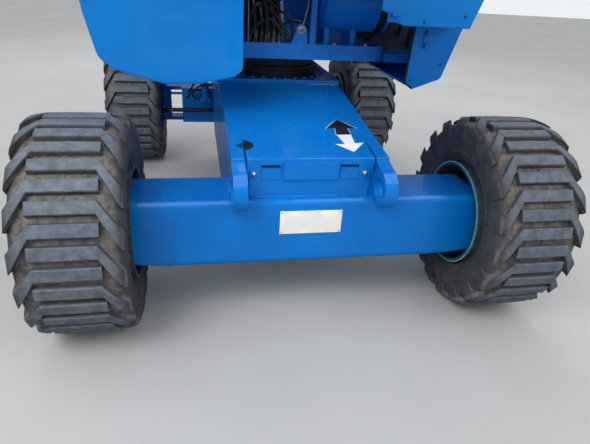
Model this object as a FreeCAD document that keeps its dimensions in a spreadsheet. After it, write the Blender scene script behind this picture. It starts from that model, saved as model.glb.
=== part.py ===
import FreeCAD, Part
import math
import os
import re

import Sketcher
from FreeCAD import Placement, Rotation, Vector

# Articulating boom lift, stowed. Millimetres. X to the right, Y towards the steered axle, Z up.
# The sizes are given about the slew axis at ground level; every piece is then moved along Y
# by CENTRE_Y, so that the origin is the middle of the whole machine's footprint.

# Driving sizes: name, value, what it is
SIZES = (
    # running gear
    ("wheelbase", 2440, "axle to axle"),
    ("track", 2060, "tyre centre to tyre centre"),
    ("tyre_diameter", 1020, "over the lug tips"),
    ("tyre_width", 440, "over the shoulders"),
    ("lug_height", 28, "tread bar above the groove"),
    ("bead_radius", 272, "tyre's bore"),
    ("rim_wall", 10, "rim barrel"),
    ("rim_disc_out", 20, "disc's inner face, outward of the tyre's middle"),
    ("rim_disc_thick", 22, "wheel disc"),
    ("hub_cap_radius", 112, "final drive cap"),
    ("hub_cap_depth", 120, "cap beyond the disc"),
    ("drive_hub_radius", 132, "final drive housing"),
    ("drive_hub_length", 169.2, "final drive housing, from the beam's end to the wheel's disc"),
    # axle beams
    ("beam_depth", 328, "along Y"),
    ("beam_low", 329, "underside above the ground"),
    ("beam_high", 672, "top above the ground"),
    ("beam_taper_from", 600, "where the underside starts to rise"),
    ("beam_taper_rise", 40, "rise of the underside at the end"),
    ("beam_top_round", 28, "top bend"),
    ("beam_low_round", 45, "bottom bend"),
    ("steer_beam_reach", 640, "half length of the steered beam"),
    ("steer_beam_depth", 280, "along Y"),
    ("yoke_thick", 30, "kingpin yoke plates"),
    ("kingpin_out", 800, "kingpin from the middle"),
    ("kingpin_radius", 26, "kingpin"),
    ("knuckle_radius", 66, "knuckle barrel"),
    ("spindle_radius", 60, "wheel spindle"),
    ("steer_arm", 210, "tie rod arm"),
    ("ram_arm", 181, "steering cylinder's arm"),
    ("tie_rod_radius", 18, "tie rod"),
    # chassis box
    ("chassis_low", 400, "underside"),
    ("deck_high", 860, "top plate's front edge"),
    ("chassis_half", 376, "half width"),
    ("belly_end", 620, "Y where the underside starts to rise"),
    ("tail_low", 600, "underside at the steered end"),
    ("chassis_ahead", 110, "box's front ahead of the drive axle"),
    ("panel_thick", 6, "access panel"),
    ("slit", 7, "gap between the deck and the lugs"),
    ("pocket_depth", 150, "depth of the gaps and slots"),
    ("tie_lug_thick", 64, "tie-down lugs, flush with the sides"),
    ("tie_lug_radius", 92, "lug's round"),
    ("tie_hole_radius", 50, "lug's hole"),
    ("tie_lug_ahead", 20, "hole centre in front of the beam"),
    ("tie_lug_high", 735, "hole centre above the ground"),
    ("pedestal_half", 384, "bearing plate's half width"),
    ("bearing_plate", 24, "bearing plate under the slew ring"),
    ("pedestal_ahead", 320, "pedestal's front ahead of the slew axis"),
    ("pedestal_behind", 400, "pedestal's back behind the slew axis"),
    ("pedestal_high", 1020, "top of the pedestal"),
    ("slew_radius", 285, "slew ring"),
    ("slew_split", 1086, "joint between the slew rings"),
    # turntable
    ("base_low", 1170, "underside of the base plate"),
    ("base_high", 1256, "top of the base plate"),
    ("base_half", 600, "half width of the base plate"),
    ("base_front", 500, "front edge ahead of the slew axis"),
    ("base_rear", 1080, "rear edge behind the slew axis"),
    ("casting_gap", 125, "inner face of every fork plate"),
    ("fork_plate", 22, "thickness of the fork plates"),
    ("tail_reach", 1520, "counterweight's back behind the slew axis"),
    ("weight_half", 1100, "counterweight's half width"),
    ("weight_low", 1100, "counterweight's underside"),
    ("weight_high", 1740, "counterweight's top"),
    ("beacon_radius", 46, "warning lamp"),
    ("beacon_high", 120, "warning lamp"),
    ("hood_front", 900, "hoods' front ahead of the slew axis"),
    ("hood_gap", 10, "hoods to counterweight"),
    ("hood_high", 1945, "hoods' top"),
    ("hood_wall", 14, "hood moulding"),
    ("hood_in", 285, "left hood's inner edge"),
    ("louvre_pitch", 32, "ribs on the hoods' sides"),
    ("louvre_radius", 8, "ribs on the hoods' sides"),
    ("hood_out", 1045, "left hood's outer edge"),
    ("hood_out_right", 975, "right hood's outer edge"),
    ("hood_low", 1096, "left hood's underside"),
    ("hinge_step", 13, "hinge line from the hoods' inner edge"),
    ("hinge_radius", 10, "hinge barrels"),
    ("hinge_length", 90, "hinge barrels"),
    ("hood_in_right", 520, "right hood's inner edge"),
    ("hood_low_right", 1411, "right hood's lower edge"),
    # arms and pivots, as (Y, Z) pairs
    ("riser_y", 850, "lower riser's base pivot"),
    ("riser_z", 1680, "lower riser's base pivot"),
    ("link_back", 110, "link pivot behind the riser pivot"),
    ("link_up", 150, "link pivot above the riser pivot"),
    ("lower_arm", 2800, "lower riser, pivot to pivot"),
    ("upper_arm", 2650, "upper riser, pivot to pivot"),
    ("mid_step_y", 50, "upper riser's pivot from the lower one"),
    ("mid_step_z", 300, "upper riser's pivot above the lower one"),
    ("boom_step_y", 200, "boom pivot behind the upper riser's end"),
    ("boom_step_z", 440, "boom pivot above the upper riser's end"),
    ("arm_pin_radius", 34, "pivot pins of the arms"),
    ("pin_fit", 0.8, "radial and side clearance at a pin"),
    ("riser_wide", 190, "riser tubes"),
    ("lower_riser_tall", 200, "lower riser tube"),
    ("upper_riser_tall", 180, "upper riser tube"),
    ("riser_hub", 72, "riser end hubs"),
    ("link_wide", 120, "parallel links"),
    ("link_tall", 50, "parallel links"),
    ("link_hub", 38, "link end hubs"),
    ("link_pin_radius", 22, "pins of the links"),
    ("arm_wall", 9, "arm tubes"),
    ("boom_wide", 220, "outer boom tube"),
    ("boom_tall", 260, "outer boom tube"),
    ("tray_wide", 52, "hose tray on the boom's right side"),
    ("tray_tall", 120, "hose tray"),
    ("tray_wall", 3, "hose tray"),
    ("tray_start", 900, "hose tray's end ahead of the boom pivot"),
    ("boom_reach", 4850, "boom pivot to the outer tube's nose"),
    ("boom_tail", 130, "outer tube behind its pivot"),
    ("boom_hub", 80, "boom pivot hub"),
    ("inner_wide", 170, "extending tube"),
    ("inner_tall", 210, "extending tube"),
    ("inner_tail", 150, "extending tube's end ahead of the boom pivot"),
    ("inner_nose", 250, "extending tube beyond the outer tube's nose"),
    ("nose_reach", 580, "nose pivot beyond the outer tube"),
    ("nose_drop", 90, "nose pivot below the boom's middle"),
    ("nose_plate", 20, "nose fork plates"),
    ("bracket_in", 66, "level bracket's inner face"),
    ("bracket_plate", 18, "level bracket's plates"),
    ("jib_step_y", 140, "jib pivot ahead of the nose pivot"),
    ("jib_step_z", 250, "jib pivot below the nose pivot"),
    ("jib_link_up", 150, "jib link pivot above the jib pivot"),
    ("jib_length", 1600, "jib, pivot to pivot"),
    ("jib_droop", 65, "degrees below level when stowed"),
    ("jib_wide", 100, "jib tube"),
    ("jib_tall", 116, "jib tube"),
    ("jib_rise", 58, "jib tube's middle above the line of its pivots"),
    ("jib_hub", 42, "jib end hubs"),
    ("jib_pin_radius", 22, "jib pins"),
    ("jib_link_in", 93, "jib links' inner face"),
    ("jib_link_thick", 16, "jib links"),
    ("jib_link_tall", 50, "jib links"),
    # cylinders, anchors from the pivot of the arm that they lift
    ("riser_base_y", 250, "riser cylinder's base, ahead"),
    ("riser_base_z", 340, "riser cylinder's base, below"),
    ("riser_eye_y", 990, "riser cylinder's eye, ahead"),
    ("riser_eye_z", 150, "riser cylinder's eye, below"),
    ("boom_base_y", 130, "boom cylinder's base, ahead"),
    ("boom_base_z", 197, "boom cylinder's base, below"),
    ("boom_eye_y", 760, "boom cylinder's eye, ahead"),
    ("boom_eye_z", 185, "boom cylinder's eye, below"),
    ("jib_base_y", 14, "jib cylinder's base, behind"),
    ("jib_base_z", 170, "jib cylinder's base, below"),
    ("jib_eye_along", 760, "jib cylinder's eye, along the jib"),
    ("jib_eye_under", 105, "jib cylinder's eye, under the jib"),
    ("level_base_y", 404, "levelling cylinder's base, behind"),
    ("level_base_z", 60, "levelling cylinder's base, above"),
    ("level_eye_y", 90, "levelling cylinder's eye, behind"),
    ("level_eye_z", 20, "levelling cylinder's eye, above"),
    # platform
    ("rotator_ahead", 225, "platform's swivel axis ahead of the jib end"),
    ("rotator_radius", 82, "swivel housing"),
    ("rotator_high", 760, "swivel housing's top"),
    ("rotator_low", 475, "swivel housing's underside"),
    ("platform_ahead", 215, "platform's back ahead of the swivel axis"),
    ("platform_wide", 2440, "outside"),
    ("platform_deep", 910, "outside"),
    ("floor_low", 350, "underside of the floor frame"),
    ("floor_high", 404, "standing surface"),
    ("floor_tube", 50, "floor frame tubes"),
    ("deck_thick", 4, "tread plate on the floor frame"),
    ("rail_high", 1100, "top rail above the floor"),
    ("rail_mid", 550, "middle rail above the floor"),
    ("rail_radius", 19, "rail tubes"),
    ("kick_high", 100, "kick plate"),
    ("gate_wide", 640, "entry gate, between its posts' middles"),
    ("gate_radius", 16, "gate tubes"),
    ("gate_clear", 8, "gate to its posts"),
    ("lift_pin_radius", 24, "base pins of the riser and boom cylinders"),
    ("jib_base_pin", 15, "base pins of the jib and levelling cylinders"),
)

# Places worked out from the sizes, each a formula in their names
PLACES = {
    "axle_y": "wheelbase / 2",
    "wheel_x": "track / 2",
    "wheel_z": "tyre_diameter / 2",
    "disc_seat": "wheel_x + rim_disc_out - pin_fit",
    "beam_reach": "disc_seat - drive_hub_length",
    "beam_half": "beam_depth / 2",
    "steer_half": "steer_beam_depth / 2",
    "hub_half": "casting_gap - pin_fit",
    "fork_out": "casting_gap + fork_plate",
    "pin_end": "fork_out + 14",
    "low_link_y": "riser_y + link_back",
    "low_link_z": "riser_z + link_up",
    "elbow_y": "riser_y - lower_arm",
    "elbow_link_y": "elbow_y + link_back",
    "upper_y": "elbow_y + mid_step_y",
    "upper_z": "riser_z + mid_step_z",
    "upper_link_y": "upper_y - link_back",
    "upper_link_z": "upper_z + link_up",
    "head_y": "upper_y + upper_arm",
    "head_link_y": "head_y - link_back",
    "boom_y": "head_y + boom_step_y",
    "boom_z": "upper_z + boom_step_z",
    "boom_nose": "boom_y - boom_reach",
    "inner_front": "boom_nose - inner_nose",
    "nose_y": "boom_nose - nose_reach",
    "nose_z": "boom_z - nose_drop",
    "bracket_out": "bracket_in + bracket_plate",
    "nose_in": "inner_wide / 2 + 7",
    "jib_y": "nose_y - jib_step_y",
    "jib_z": "nose_z - jib_step_z",
    "jib_link_z": "jib_z + jib_link_up",
    "jib_end_y": "jib_y - jib_length * cos(jib_droop)",
    "jib_end_z": "jib_z - jib_length * sin(jib_droop)",
    "jib_end_link_z": "jib_end_z + jib_link_up",
    "swivel_y": "jib_end_y - rotator_ahead",
    "platform_back": "swivel_y - platform_ahead",
    "platform_front": "platform_back - platform_deep",
    "platform_half": "platform_wide / 2",
    "CENTRE_Y": "(platform_front + axle_y + tyre_diameter / 2) / (0 - 2)",
}

doc = FreeCAD.newDocument("BoomLift")
sheet = doc.addObject("Spreadsheet::Sheet", "Sizes")
for row, (name, value, note) in enumerate(SIZES, start=1):
    sheet.set(f"A{row}", name)
    sheet.set(f"B{row}", str(value))
    sheet.set(f"C{row}", note)
    sheet.setAlias(f"B{row}", name)
doc.recompute()

WORD = re.compile(r"[A-Za-z_]\w*")
ALIASES = {name for name, value, note in SIZES}


def formula(text):
    """A formula in plain names, as an expression in the sheet's cells."""
    def swap(match):
        word = match.group(0)
        if word in ALIASES:
            return "Sizes." + word
        if word in PLACES:
            return "(" + formula(PLACES[word]) + ")"
        return word
    return WORD.sub(swap, str(text))


def size(text):
    """The value of a formula now, in millimetres or degrees."""
    result = sheet.evalExpression(formula(text))
    return float(getattr(result, "Value", result))


def bind(obj, **values):
    for prop, text in values.items():
        obj.setExpression(prop, formula(text))


def place(obj, x, y, z):
    for axis, text in zip("xyz", (x, y, z)):
        obj.setExpression("Placement.Base." + axis, formula(text))


def tilt(obj, dy, dz):
    """Turn about X so that the object's Z axis points along (dy, dz)."""
    obj.Placement = Placement(Vector(), Rotation(Vector(1, 0, 0), 1))
    obj.setExpression("Placement.Rotation.Angle", formula(f"atan2(0 - ({dy}); {dz})"))


TURN = {"X": Rotation(Vector(0, 1, 0), 90), "Y": Rotation(Vector(1, 0, 0), -90), "Z": Rotation()}


def box(x, y, z):
    """A block between a low and a high formula on each axis."""
    block = doc.addObject("Part::Box", "block")
    bind(block, Length=f"({x[1]}) - ({x[0]})", Width=f"({y[1]}) - ({y[0]})",
         Height=f"({z[1]}) - ({z[0]})")
    place(block, x[0], y[0], z[0])
    return block


def rod(axis, span, centre, radius):
    """A round bar along an axis, between two formulas, centred on the other two axes."""
    bar = doc.addObject("Part::Cylinder", "bar")
    bar.Placement = Placement(Vector(), TURN[axis])
    bind(bar, Radius=radius, Height=f"({span[1]}) - ({span[0]})")
    at = list(centre)
    at.insert("XYZ".index(axis), span[0])
    place(bar, *at)
    return bar


def strut(x, start, end, radius, skip="0", length=None):
    """A round bar in a plane of constant X, from start towards end, both (Y, Z)."""
    dy = f"({end[0]}) - ({start[0]})"
    dz = f"({end[1]}) - ({start[1]})"
    whole = f"sqrt(({dy}) ^ 2 + ({dz}) ^ 2)"
    bar = doc.addObject("Part::Cylinder", "bar")
    tilt(bar, dy, dz)
    bind(bar, Radius=radius, Height=length or f"{whole} - ({skip})")
    place(bar, x, f"({start[0]}) + ({skip}) * ({dy}) / {whole}",
          f"({start[1]}) + ({skip}) * ({dz}) / {whole}")
    return bar


def sketch(body, role, points, offset="0", closed_loops=None):
    """A fully placed outline on one of the body's origin planes; every point is a formula pair."""
    plane = [f for f in body.Origin.OriginFeatures if f.Role == role][0]
    drawing = body.newObject("Sketcher::SketchObject", "outline")
    drawing.AttachmentSupport = [(plane, "")]
    drawing.MapMode = "FlatFace"
    drawing.setExpression("AttachmentOffset.Base.z", formula(offset))
    for loop in closed_loops or [points]:
        first = drawing.GeometryCount
        at = [Vector(size(u), size(v), 0) for u, v in loop]
        for index in range(len(loop)):
            drawing.addGeometry(Part.LineSegment(at[index], at[(index + 1) % len(loop)]), False)
        for index in range(len(loop)):
            following = first + (index + 1) % len(loop)
            drawing.addConstraint(Sketcher.Constraint("Coincident", first + index, 2, following, 1))
        for index, (u, v) in enumerate(loop):
            for kind, value, text in (("DistanceX", at[index].x, u), ("DistanceY", at[index].y, v)):
                number = drawing.addConstraint(
                    Sketcher.Constraint(kind, -1, 1, first + index, 1, value))
                drawing.setExpression(f"Constraints[{number}]", formula(text))
    return drawing


PLANE = {"X": "YZ_Plane", "Y": "XZ_Plane", "Z": "XY_Plane"}


def plate(normal, points, span, round_edges=(), loops=None):
    """A plate of any outline between two formulas along its normal.

    Outlines are (Y, Z) for normal X, (X, Z) for Y and (X, Y) for Z. Each row of round_edges is
    a radius formula and the outline's corners, by their place in the list, that it rounds.
    """
    body = doc.addObject("PartDesign::Body", "plate")
    offset = f"0 - ({span[1]})" if normal == "Y" else span[0]
    drawing = sketch(body, PLANE[normal], points, offset, loops)
    pad = body.newObject("PartDesign::Pad", "pad")
    pad.Profile = drawing
    bind(pad, Length=f"({span[1]}) - ({span[0]})")
    for radius, corners in round_edges:
        doc.recompute()
        base = body.Tip
        names = edges_at(base.Shape, normal, [(size(points[c][0]), size(points[c][1])) for c in corners])
        fillet = body.newObject("PartDesign::Fillet", "round")
        fillet.Base = (base, names)
        bind(fillet, Radius=radius)
    return body


def edges_at(shape, normal, corners):
    """Names of the straight edges along the normal that stand on the given outline corners."""
    keep = [axis for axis in "xyz" if axis != normal.lower()]
    found = []
    for number, edge in enumerate(shape.Edges, start=1):
        if len(edge.Vertexes) != 2:
            continue
        one, two = (vertex.Point for vertex in edge.Vertexes)
        if max(abs(getattr(one, k) - getattr(two, k)) for k in keep) > 1e-4:
            continue
        for corner in corners:
            if max(abs(getattr(one, k) - c) for k, c in zip(keep, corner)) < 1e-3:
                found.append(f"Edge{number}")
    return found


def arm(start, end, wide, tall, wall, near="0", far="0"):
    """A box tube from start to end, both (Y, Z), shortened at either end."""
    dy = f"({end[0]}) - ({start[0]})"
    dz = f"({end[1]}) - ({start[1]})"
    whole = f"sqrt(({dy}) ^ 2 + ({dz}) ^ 2)"
    body = doc.addObject("PartDesign::Body", "tube")
    outer = [(f"{s} * ({wide}) / 2", f"{t} * ({tall}) / 2") for s, t in ((-1, -1), (1, -1), (1, 1), (-1, 1))]
    inner = [(f"{s} * (({wide}) / 2 - {wall})", f"{t} * (({tall}) / 2 - {wall})")
             for s, t in ((-1, -1), (1, -1), (1, 1), (-1, 1))]
    drawing = sketch(body, "XY_Plane", None, near, [outer, inner])
    pad = body.newObject("PartDesign::Pad", "pad")
    pad.Profile = drawing
    bind(pad, Length=f"{whole} - ({near}) - ({far})")
    tilt(body, dy, dz)
    place(body, "0", start[0], start[1])
    return body


def join(solids):
    if len(solids) == 1:
        return solids[0]
    union = doc.addObject("Part::MultiFuse", "union")
    union.Shapes = solids
    return union


def cut(base, tools):
    difference = doc.addObject("Part::Cut", "cut")
    difference.Base = base
    difference.Tool = join(tools)
    return difference


NODES = []


def node(label, solids, holes=()):
    """One named sub-part: its solids joined, its holes cut, moved to the common origin."""
    shape = join(list(solids))
    if holes:
        shape = cut(shape, list(holes))
    whole = doc.addObject("Part::Compound", "piece")
    whole.Links = [shape]
    whole.Label = label
    whole.setExpression("Placement.Base.y", formula("CENTRE_Y"))
    NODES.append(whole)
    return whole


def made(label, shape, x, y, z):
    """A sub-part whose shape is worked out in code about its own middle, set at a place."""
    piece = doc.addObject("Part::Feature", "moulding")
    piece.Shape = shape
    piece.Placement = Placement(Vector(size(x), size(f"{y} + CENTRE_Y"), size(z)), Rotation())
    piece.Label = label
    NODES.append(piece)
    return piece


def both(x_in, x_out, maker):
    """The same piece on both sides of the middle plane: maker takes a span along X."""
    return [maker((x_in, x_out)), maker((f"0 - ({x_out})", f"0 - ({x_in})"))]


def pin(at, radius, reach):
    return rod("X", (f"0 - ({reach})", reach), at, radius)


# Running gear

SEGMENTS = 36
# Shares of the tyre's half width: the bars' middle part, the shoulder's edges, the bead
MIDDLE_SHARE, LUG_EDGE_SHARE, GROOVE_EDGE_SHARE, BEAD_SHARE = 0.56, 0.96, 0.94, 0.80
# A bar's width and a leg's widening in pitches, and the degrees that a leg trails at the shoulder
BAR_SHARE, LEG_GROWTH, LEG_TRAIL = 0.62, 0.38, 13.5
# Drop of the lugs' and the grooves' edges at the shoulder, and the side wall's share of the radius
LUG_DROP, GROOVE_DROP, WALL_SHARE = 16, 18, 0.80


def around(x, turn, radius):
    return Vector(x, radius * math.sin(turn), radius * math.cos(turn))


def polygon(points):
    return Part.Face(Part.makePolygon(points + [points[0]]))


def quad(one, two, three, four):
    return [polygon([one, two, three]), polygon([one, three, four])]


def shoulder(hand, pitch):
    """One side of a tyre: the legs of every other bar, the grooves between, side wall and bore."""
    tip, bead, half = size("tyre_diameter / 2"), size("bead_radius"), size("tyre_width / 2")
    groove = tip - size("lug_height")
    middle, bead_x = hand * half * MIDDLE_SHARE, hand * half * BEAD_SHARE
    lug_x, groove_x = hand * half * LUG_EDGE_SHARE, hand * half * GROOVE_EDGE_SHARE
    bar, trail = pitch * BAR_SHARE, math.radians(LEG_TRAIL)
    faces, teeth = [], []
    for number in range(0 if hand < 0 else 1, SEGMENTS, 2):
        a = number * pitch
        b = a + bar
        c, d = a - trail - pitch * LEG_GROWTH, b - trail
        lug = [around(middle, a, tip), around(middle, b, tip),
               around(lug_x, d, tip - LUG_DROP), around(lug_x, c, tip - LUG_DROP)]
        foot = [around(middle, a, groove), around(middle, b, groove),
                around(groove_x, d, groove - GROOVE_DROP), around(groove_x, c, groove - GROOVE_DROP)]
        following = [around(middle, a + 2 * pitch, groove),
                     around(groove_x, c + 2 * pitch, groove - GROOVE_DROP)]
        wall = [around(hand * half, turn, tip * WALL_SHARE) for turn in (c, d, c + 2 * pitch)]
        edge = [around(bead_x, a - back * pitch, bead) for back in (2, 1, 0)]
        faces += quad(*lug) + quad(foot[0], lug[0], lug[3], foot[3]) + quad(lug[1], foot[1], foot[2], lug[2])
        faces += quad(foot[1], *following, foot[2]) + quad(lug[3], lug[2], wall[1], wall[0])
        faces += [polygon([foot[3], lug[3], wall[0]]), polygon([lug[2], foot[2], wall[1]])]
        faces += quad(foot[2], following[1], wall[2], wall[1])
        faces += quad(wall[0], wall[1], edge[1], edge[0]) + quad(wall[1], wall[2], edge[2], edge[1])
        teeth += [foot[0], lug[0], lug[1], foot[1]]
    turns = [number * pitch for number in range(SEGMENTS + 1)]
    bore = [around(middle, turn, bead) for turn in turns]
    rim_side = [around(bead_x, turn, bead) for turn in turns]
    faces.append(polygon(teeth).cut(polygon(bore[:-1])).Faces[0])
    for number in range(SEGMENTS):
        faces.append(polygon([bore[number], bore[number + 1], rim_side[number + 1], rim_side[number]]))
    solid = Part.Solid(Part.Shell(faces))
    if solid.Volume < 0:
        solid.reverse()
    return solid


def tyre_shape(side):
    """A lugged tyre about the X axis, middle at the origin; side is +1 on the right.

    Bars cross the middle of the tread, and every other bar runs on into the shoulder on the
    one side, the ones between on the other, trailing towards the drive end of the machine.
    """
    tip, bead, half = size("tyre_diameter / 2"), size("bead_radius"), size("tyre_width / 2")
    groove = tip - size("lug_height")
    middle, pitch = half * MIDDLE_SHARE, 2 * math.pi / SEGMENTS
    teeth, bore = [], []
    for number in range(SEGMENTS):
        start = number * pitch
        end = start + pitch * BAR_SHARE
        teeth += [around(-middle, start, groove), around(-middle, start, tip),
                  around(-middle, end, tip), around(-middle, end, groove)]
        bore.append(around(-middle, start, bead))
    solid = polygon(teeth).cut(polygon(bore)).extrude(Vector(2 * middle, 0, 0))
    whole = solid.fuse([shoulder(-1, pitch), shoulder(1, pitch)]).removeSplitter()
    if side > 0:
        return whole
    return whole.mirror(Vector(), Vector(1, 0, 0))


def rim_body(wheel_x, wheel_y, side):
    """Rim, disc and hub cap, turned about the axle; side is +1 on the right."""
    body = doc.addObject("PartDesign::Body", "rim")
    s = f"{side}"
    out = f"bead_radius * cos(180 / {SEGMENTS}) - 0.4"
    inn = f"{out} - rim_wall"
    w = "tyre_width / 2"
    profile = [
        (f"{s} * (rim_disc_out)", "0"),
        (f"{s} * (rim_disc_out)", inn),
        (f"0 - {s} * ({w} - 22)", inn),
        (f"0 - {s} * ({w} - 22)", f"{inn} - 6"),
        (f"0 - {s} * ({w} - 4)", f"{inn} - 6"),
        (f"0 - {s} * ({w} - 4)", f"{out} + 4"),
        (f"0 - {s} * ({w} * 0.8 + 6)", out),
        (f"{s} * ({w} * 0.8 + 6)", out),
        (f"{s} * ({w} - 4)", f"{out} + 4"),
        (f"{s} * ({w} - 4)", f"{inn} - 6"),
        (f"{s} * ({w} - 22)", f"{inn} - 6"),
        (f"{s} * ({w} - 22)", inn),
        (f"{s} * (rim_disc_out + rim_disc_thick)", inn),
        (f"{s} * (rim_disc_out + rim_disc_thick)", "hub_cap_radius"),
        (f"{s} * (rim_disc_out + rim_disc_thick + hub_cap_depth)", "hub_cap_radius - 8"),
        (f"{s} * (rim_disc_out + rim_disc_thick + hub_cap_depth)", "0"),
    ]
    drawing = sketch(body, "XY_Plane", profile)
    turn = body.newObject("PartDesign::Revolution", "turn")
    turn.Profile = drawing
    turn.ReferenceAxis = (drawing, ["H_Axis"])
    turn.Angle = 360
    place(body, wheel_x, wheel_y, "wheel_z")
    return body


CORNERS = (
    # name, side, end (-1 the drive end)
    ("near_left", -1, -1),
    ("near_right", 1, -1),
    ("far_left", -1, 1),
    ("far_right", 1, 1),
)

for name, side, end in CORNERS:
    made("tyre_" + name, tyre_shape(side), f"{side} * wheel_x", f"{end} * axle_y", "wheel_z")
    node("rim_" + name, [rim_body(f"{side} * wheel_x", f"{end} * axle_y", side)])


def drive_beam():
    near, far = "0 - axle_y - beam_half", "0 - axle_y + beam_half"
    section = [(near, "beam_low"), (far, "beam_low"), (far, "beam_high"), (near, "beam_high")]
    beam = plate("X", section, ("0 - beam_reach", "beam_reach"),
                 [("beam_low_round", (0, 1)), ("beam_top_round", (2, 3))])
    # the underside rises towards the wheels
    wedges = []
    for side in (-1, 1):
        end = f"{side} * (beam_reach + 20)"
        rise = "beam_taper_rise * (beam_reach + 20 - beam_taper_from) / (beam_reach - beam_taper_from)"
        wedges.append(plate("Y", [(f"{side} * beam_taper_from", "beam_low"), (end, f"beam_low + {rise}"),
                                  (end, "beam_low - 30"), (f"{side} * beam_taper_from", "beam_low - 30")],
                            (f"{near} - 10", f"{far} + 10")))
    return [beam], wedges


node("drive_axle_beam", *drive_beam())
node("drive_hubs", both("beam_reach", "disc_seat", lambda span: rod(
    "X", span, ("0 - axle_y", "wheel_z"), "drive_hub_radius")))


def steer_beam():
    """The steered axle's box, with the yokes that hold the kingpins."""
    near, far = "axle_y - steer_half", "axle_y + steer_half"
    solids = [box(("0 - steer_beam_reach", "steer_beam_reach"), (near, far),
                  ("beam_low + 20", "beam_high - 20"))]
    for low in ("beam_low + 20", "beam_high - 20 - yoke_thick"):
        solids += both("steer_beam_reach - 10", "kingpin_out", lambda span: box(
            span, ("axle_y - knuckle_radius", "axle_y + knuckle_radius"), (low, f"{low} + yoke_thick")))
        for side in (-1, 1):
            solids.append(rod("Z", (low, f"{low} + yoke_thick"),
                              (f"{side} * kingpin_out", "axle_y"), "knuckle_radius"))
    for side in (-1, 1):
        solids.append(rod("Z", ("beam_low + 10", "beam_high - 10"),
                          (f"{side} * kingpin_out", "axle_y"), "kingpin_radius"))
    return solids


node("steer_axle_beam", steer_beam())

KNUCKLE_LOW = "beam_low + 20 + yoke_thick + pin_fit"
KNUCKLE_HIGH = "beam_high - 20 - yoke_thick - pin_fit"
TIE_Z = "beam_low + 100"
CYL_Z = "beam_low + 211"


def knuckle(side):
    """Kingpin barrel, spindle and the arms for the tie rod and the steering cylinder."""
    x = f"{side} * kingpin_out"
    solids = [rod("Z", (KNUCKLE_LOW, KNUCKLE_HIGH), (x, "axle_y"), "knuckle_radius - 4")]
    reach = ("kingpin_out", "disc_seat")
    span = reach if side > 0 else (f"0 - ({reach[1]})", f"0 - ({reach[0]})")
    solids.append(rod("X", span, ("axle_y", "wheel_z"), "spindle_radius"))
    solids.append(box((f"{x} - 24", f"{x} + 24"), ("axle_y - steer_arm", "axle_y"), (TIE_Z, f"{TIE_Z} + 26")))
    solids.append(rod("Z", (TIE_Z, f"{TIE_Z} + 26"), (x, "axle_y - steer_arm"), "30"))
    if side < 0:
        solids.append(box((f"{x} - 24", f"{x} + 24"), ("axle_y", "axle_y + ram_arm"),
                          (f"{CYL_Z} - 44", f"{CYL_Z} - 20")))
        solids.append(rod("Z", (f"{CYL_Z} - 44", f"{CYL_Z} - 20"), (x, "axle_y + ram_arm"), "25"))
    bore = rod("Z", ("beam_low", "beam_high"), (x, "axle_y"), "kingpin_radius + pin_fit")
    return solids, [bore]


for name, side in (("left", -1), ("right", 1)):
    node("knuckle_" + name, *knuckle(side))


def tie_rod():
    y, z = "axle_y - steer_arm", f"{TIE_Z} + 26 + pin_fit + 22"
    solids = [rod("X", ("0 - kingpin_out", "kingpin_out"), (y, z), "tie_rod_radius")]
    for side in (-1, 1):
        solids.append(rod("Z", (f"{z} - 22", f"{z} + 22"), (f"{side} * kingpin_out", y), "28"))
    return solids


node("tie_rod", tie_rod())

STEER_CYL_Y = "axle_y + ram_arm"
node("steer_cylinder_barrel",
     [rod("X", ("0 - 480", "0 - 60"), (STEER_CYL_Y, CYL_Z), "38"),
      box(("0 - 120", "0 - 70"), ("axle_y + steer_half", STEER_CYL_Y), (f"{CYL_Z} - 30", f"{CYL_Z} + 30"))],
     [rod("X", ("0 - 470", "0 - 80"), (STEER_CYL_Y, CYL_Z), "30"),
      rod("X", ("0 - 500", "0 - 400"), (STEER_CYL_Y, CYL_Z), "16 + pin_fit")])
node("steer_cylinder_rod",
     [rod("X", ("0 - kingpin_out", "0 - 250"), (STEER_CYL_Y, CYL_Z), "16"),
      rod("X", ("0 - 280", "0 - 250"), (STEER_CYL_Y, CYL_Z), "30 - pin_fit"),
      rod("Z", (f"{CYL_Z} - 14", f"{CYL_Z} + 14"), ("0 - kingpin_out", STEER_CYL_Y), "25")])


# Chassis

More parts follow.
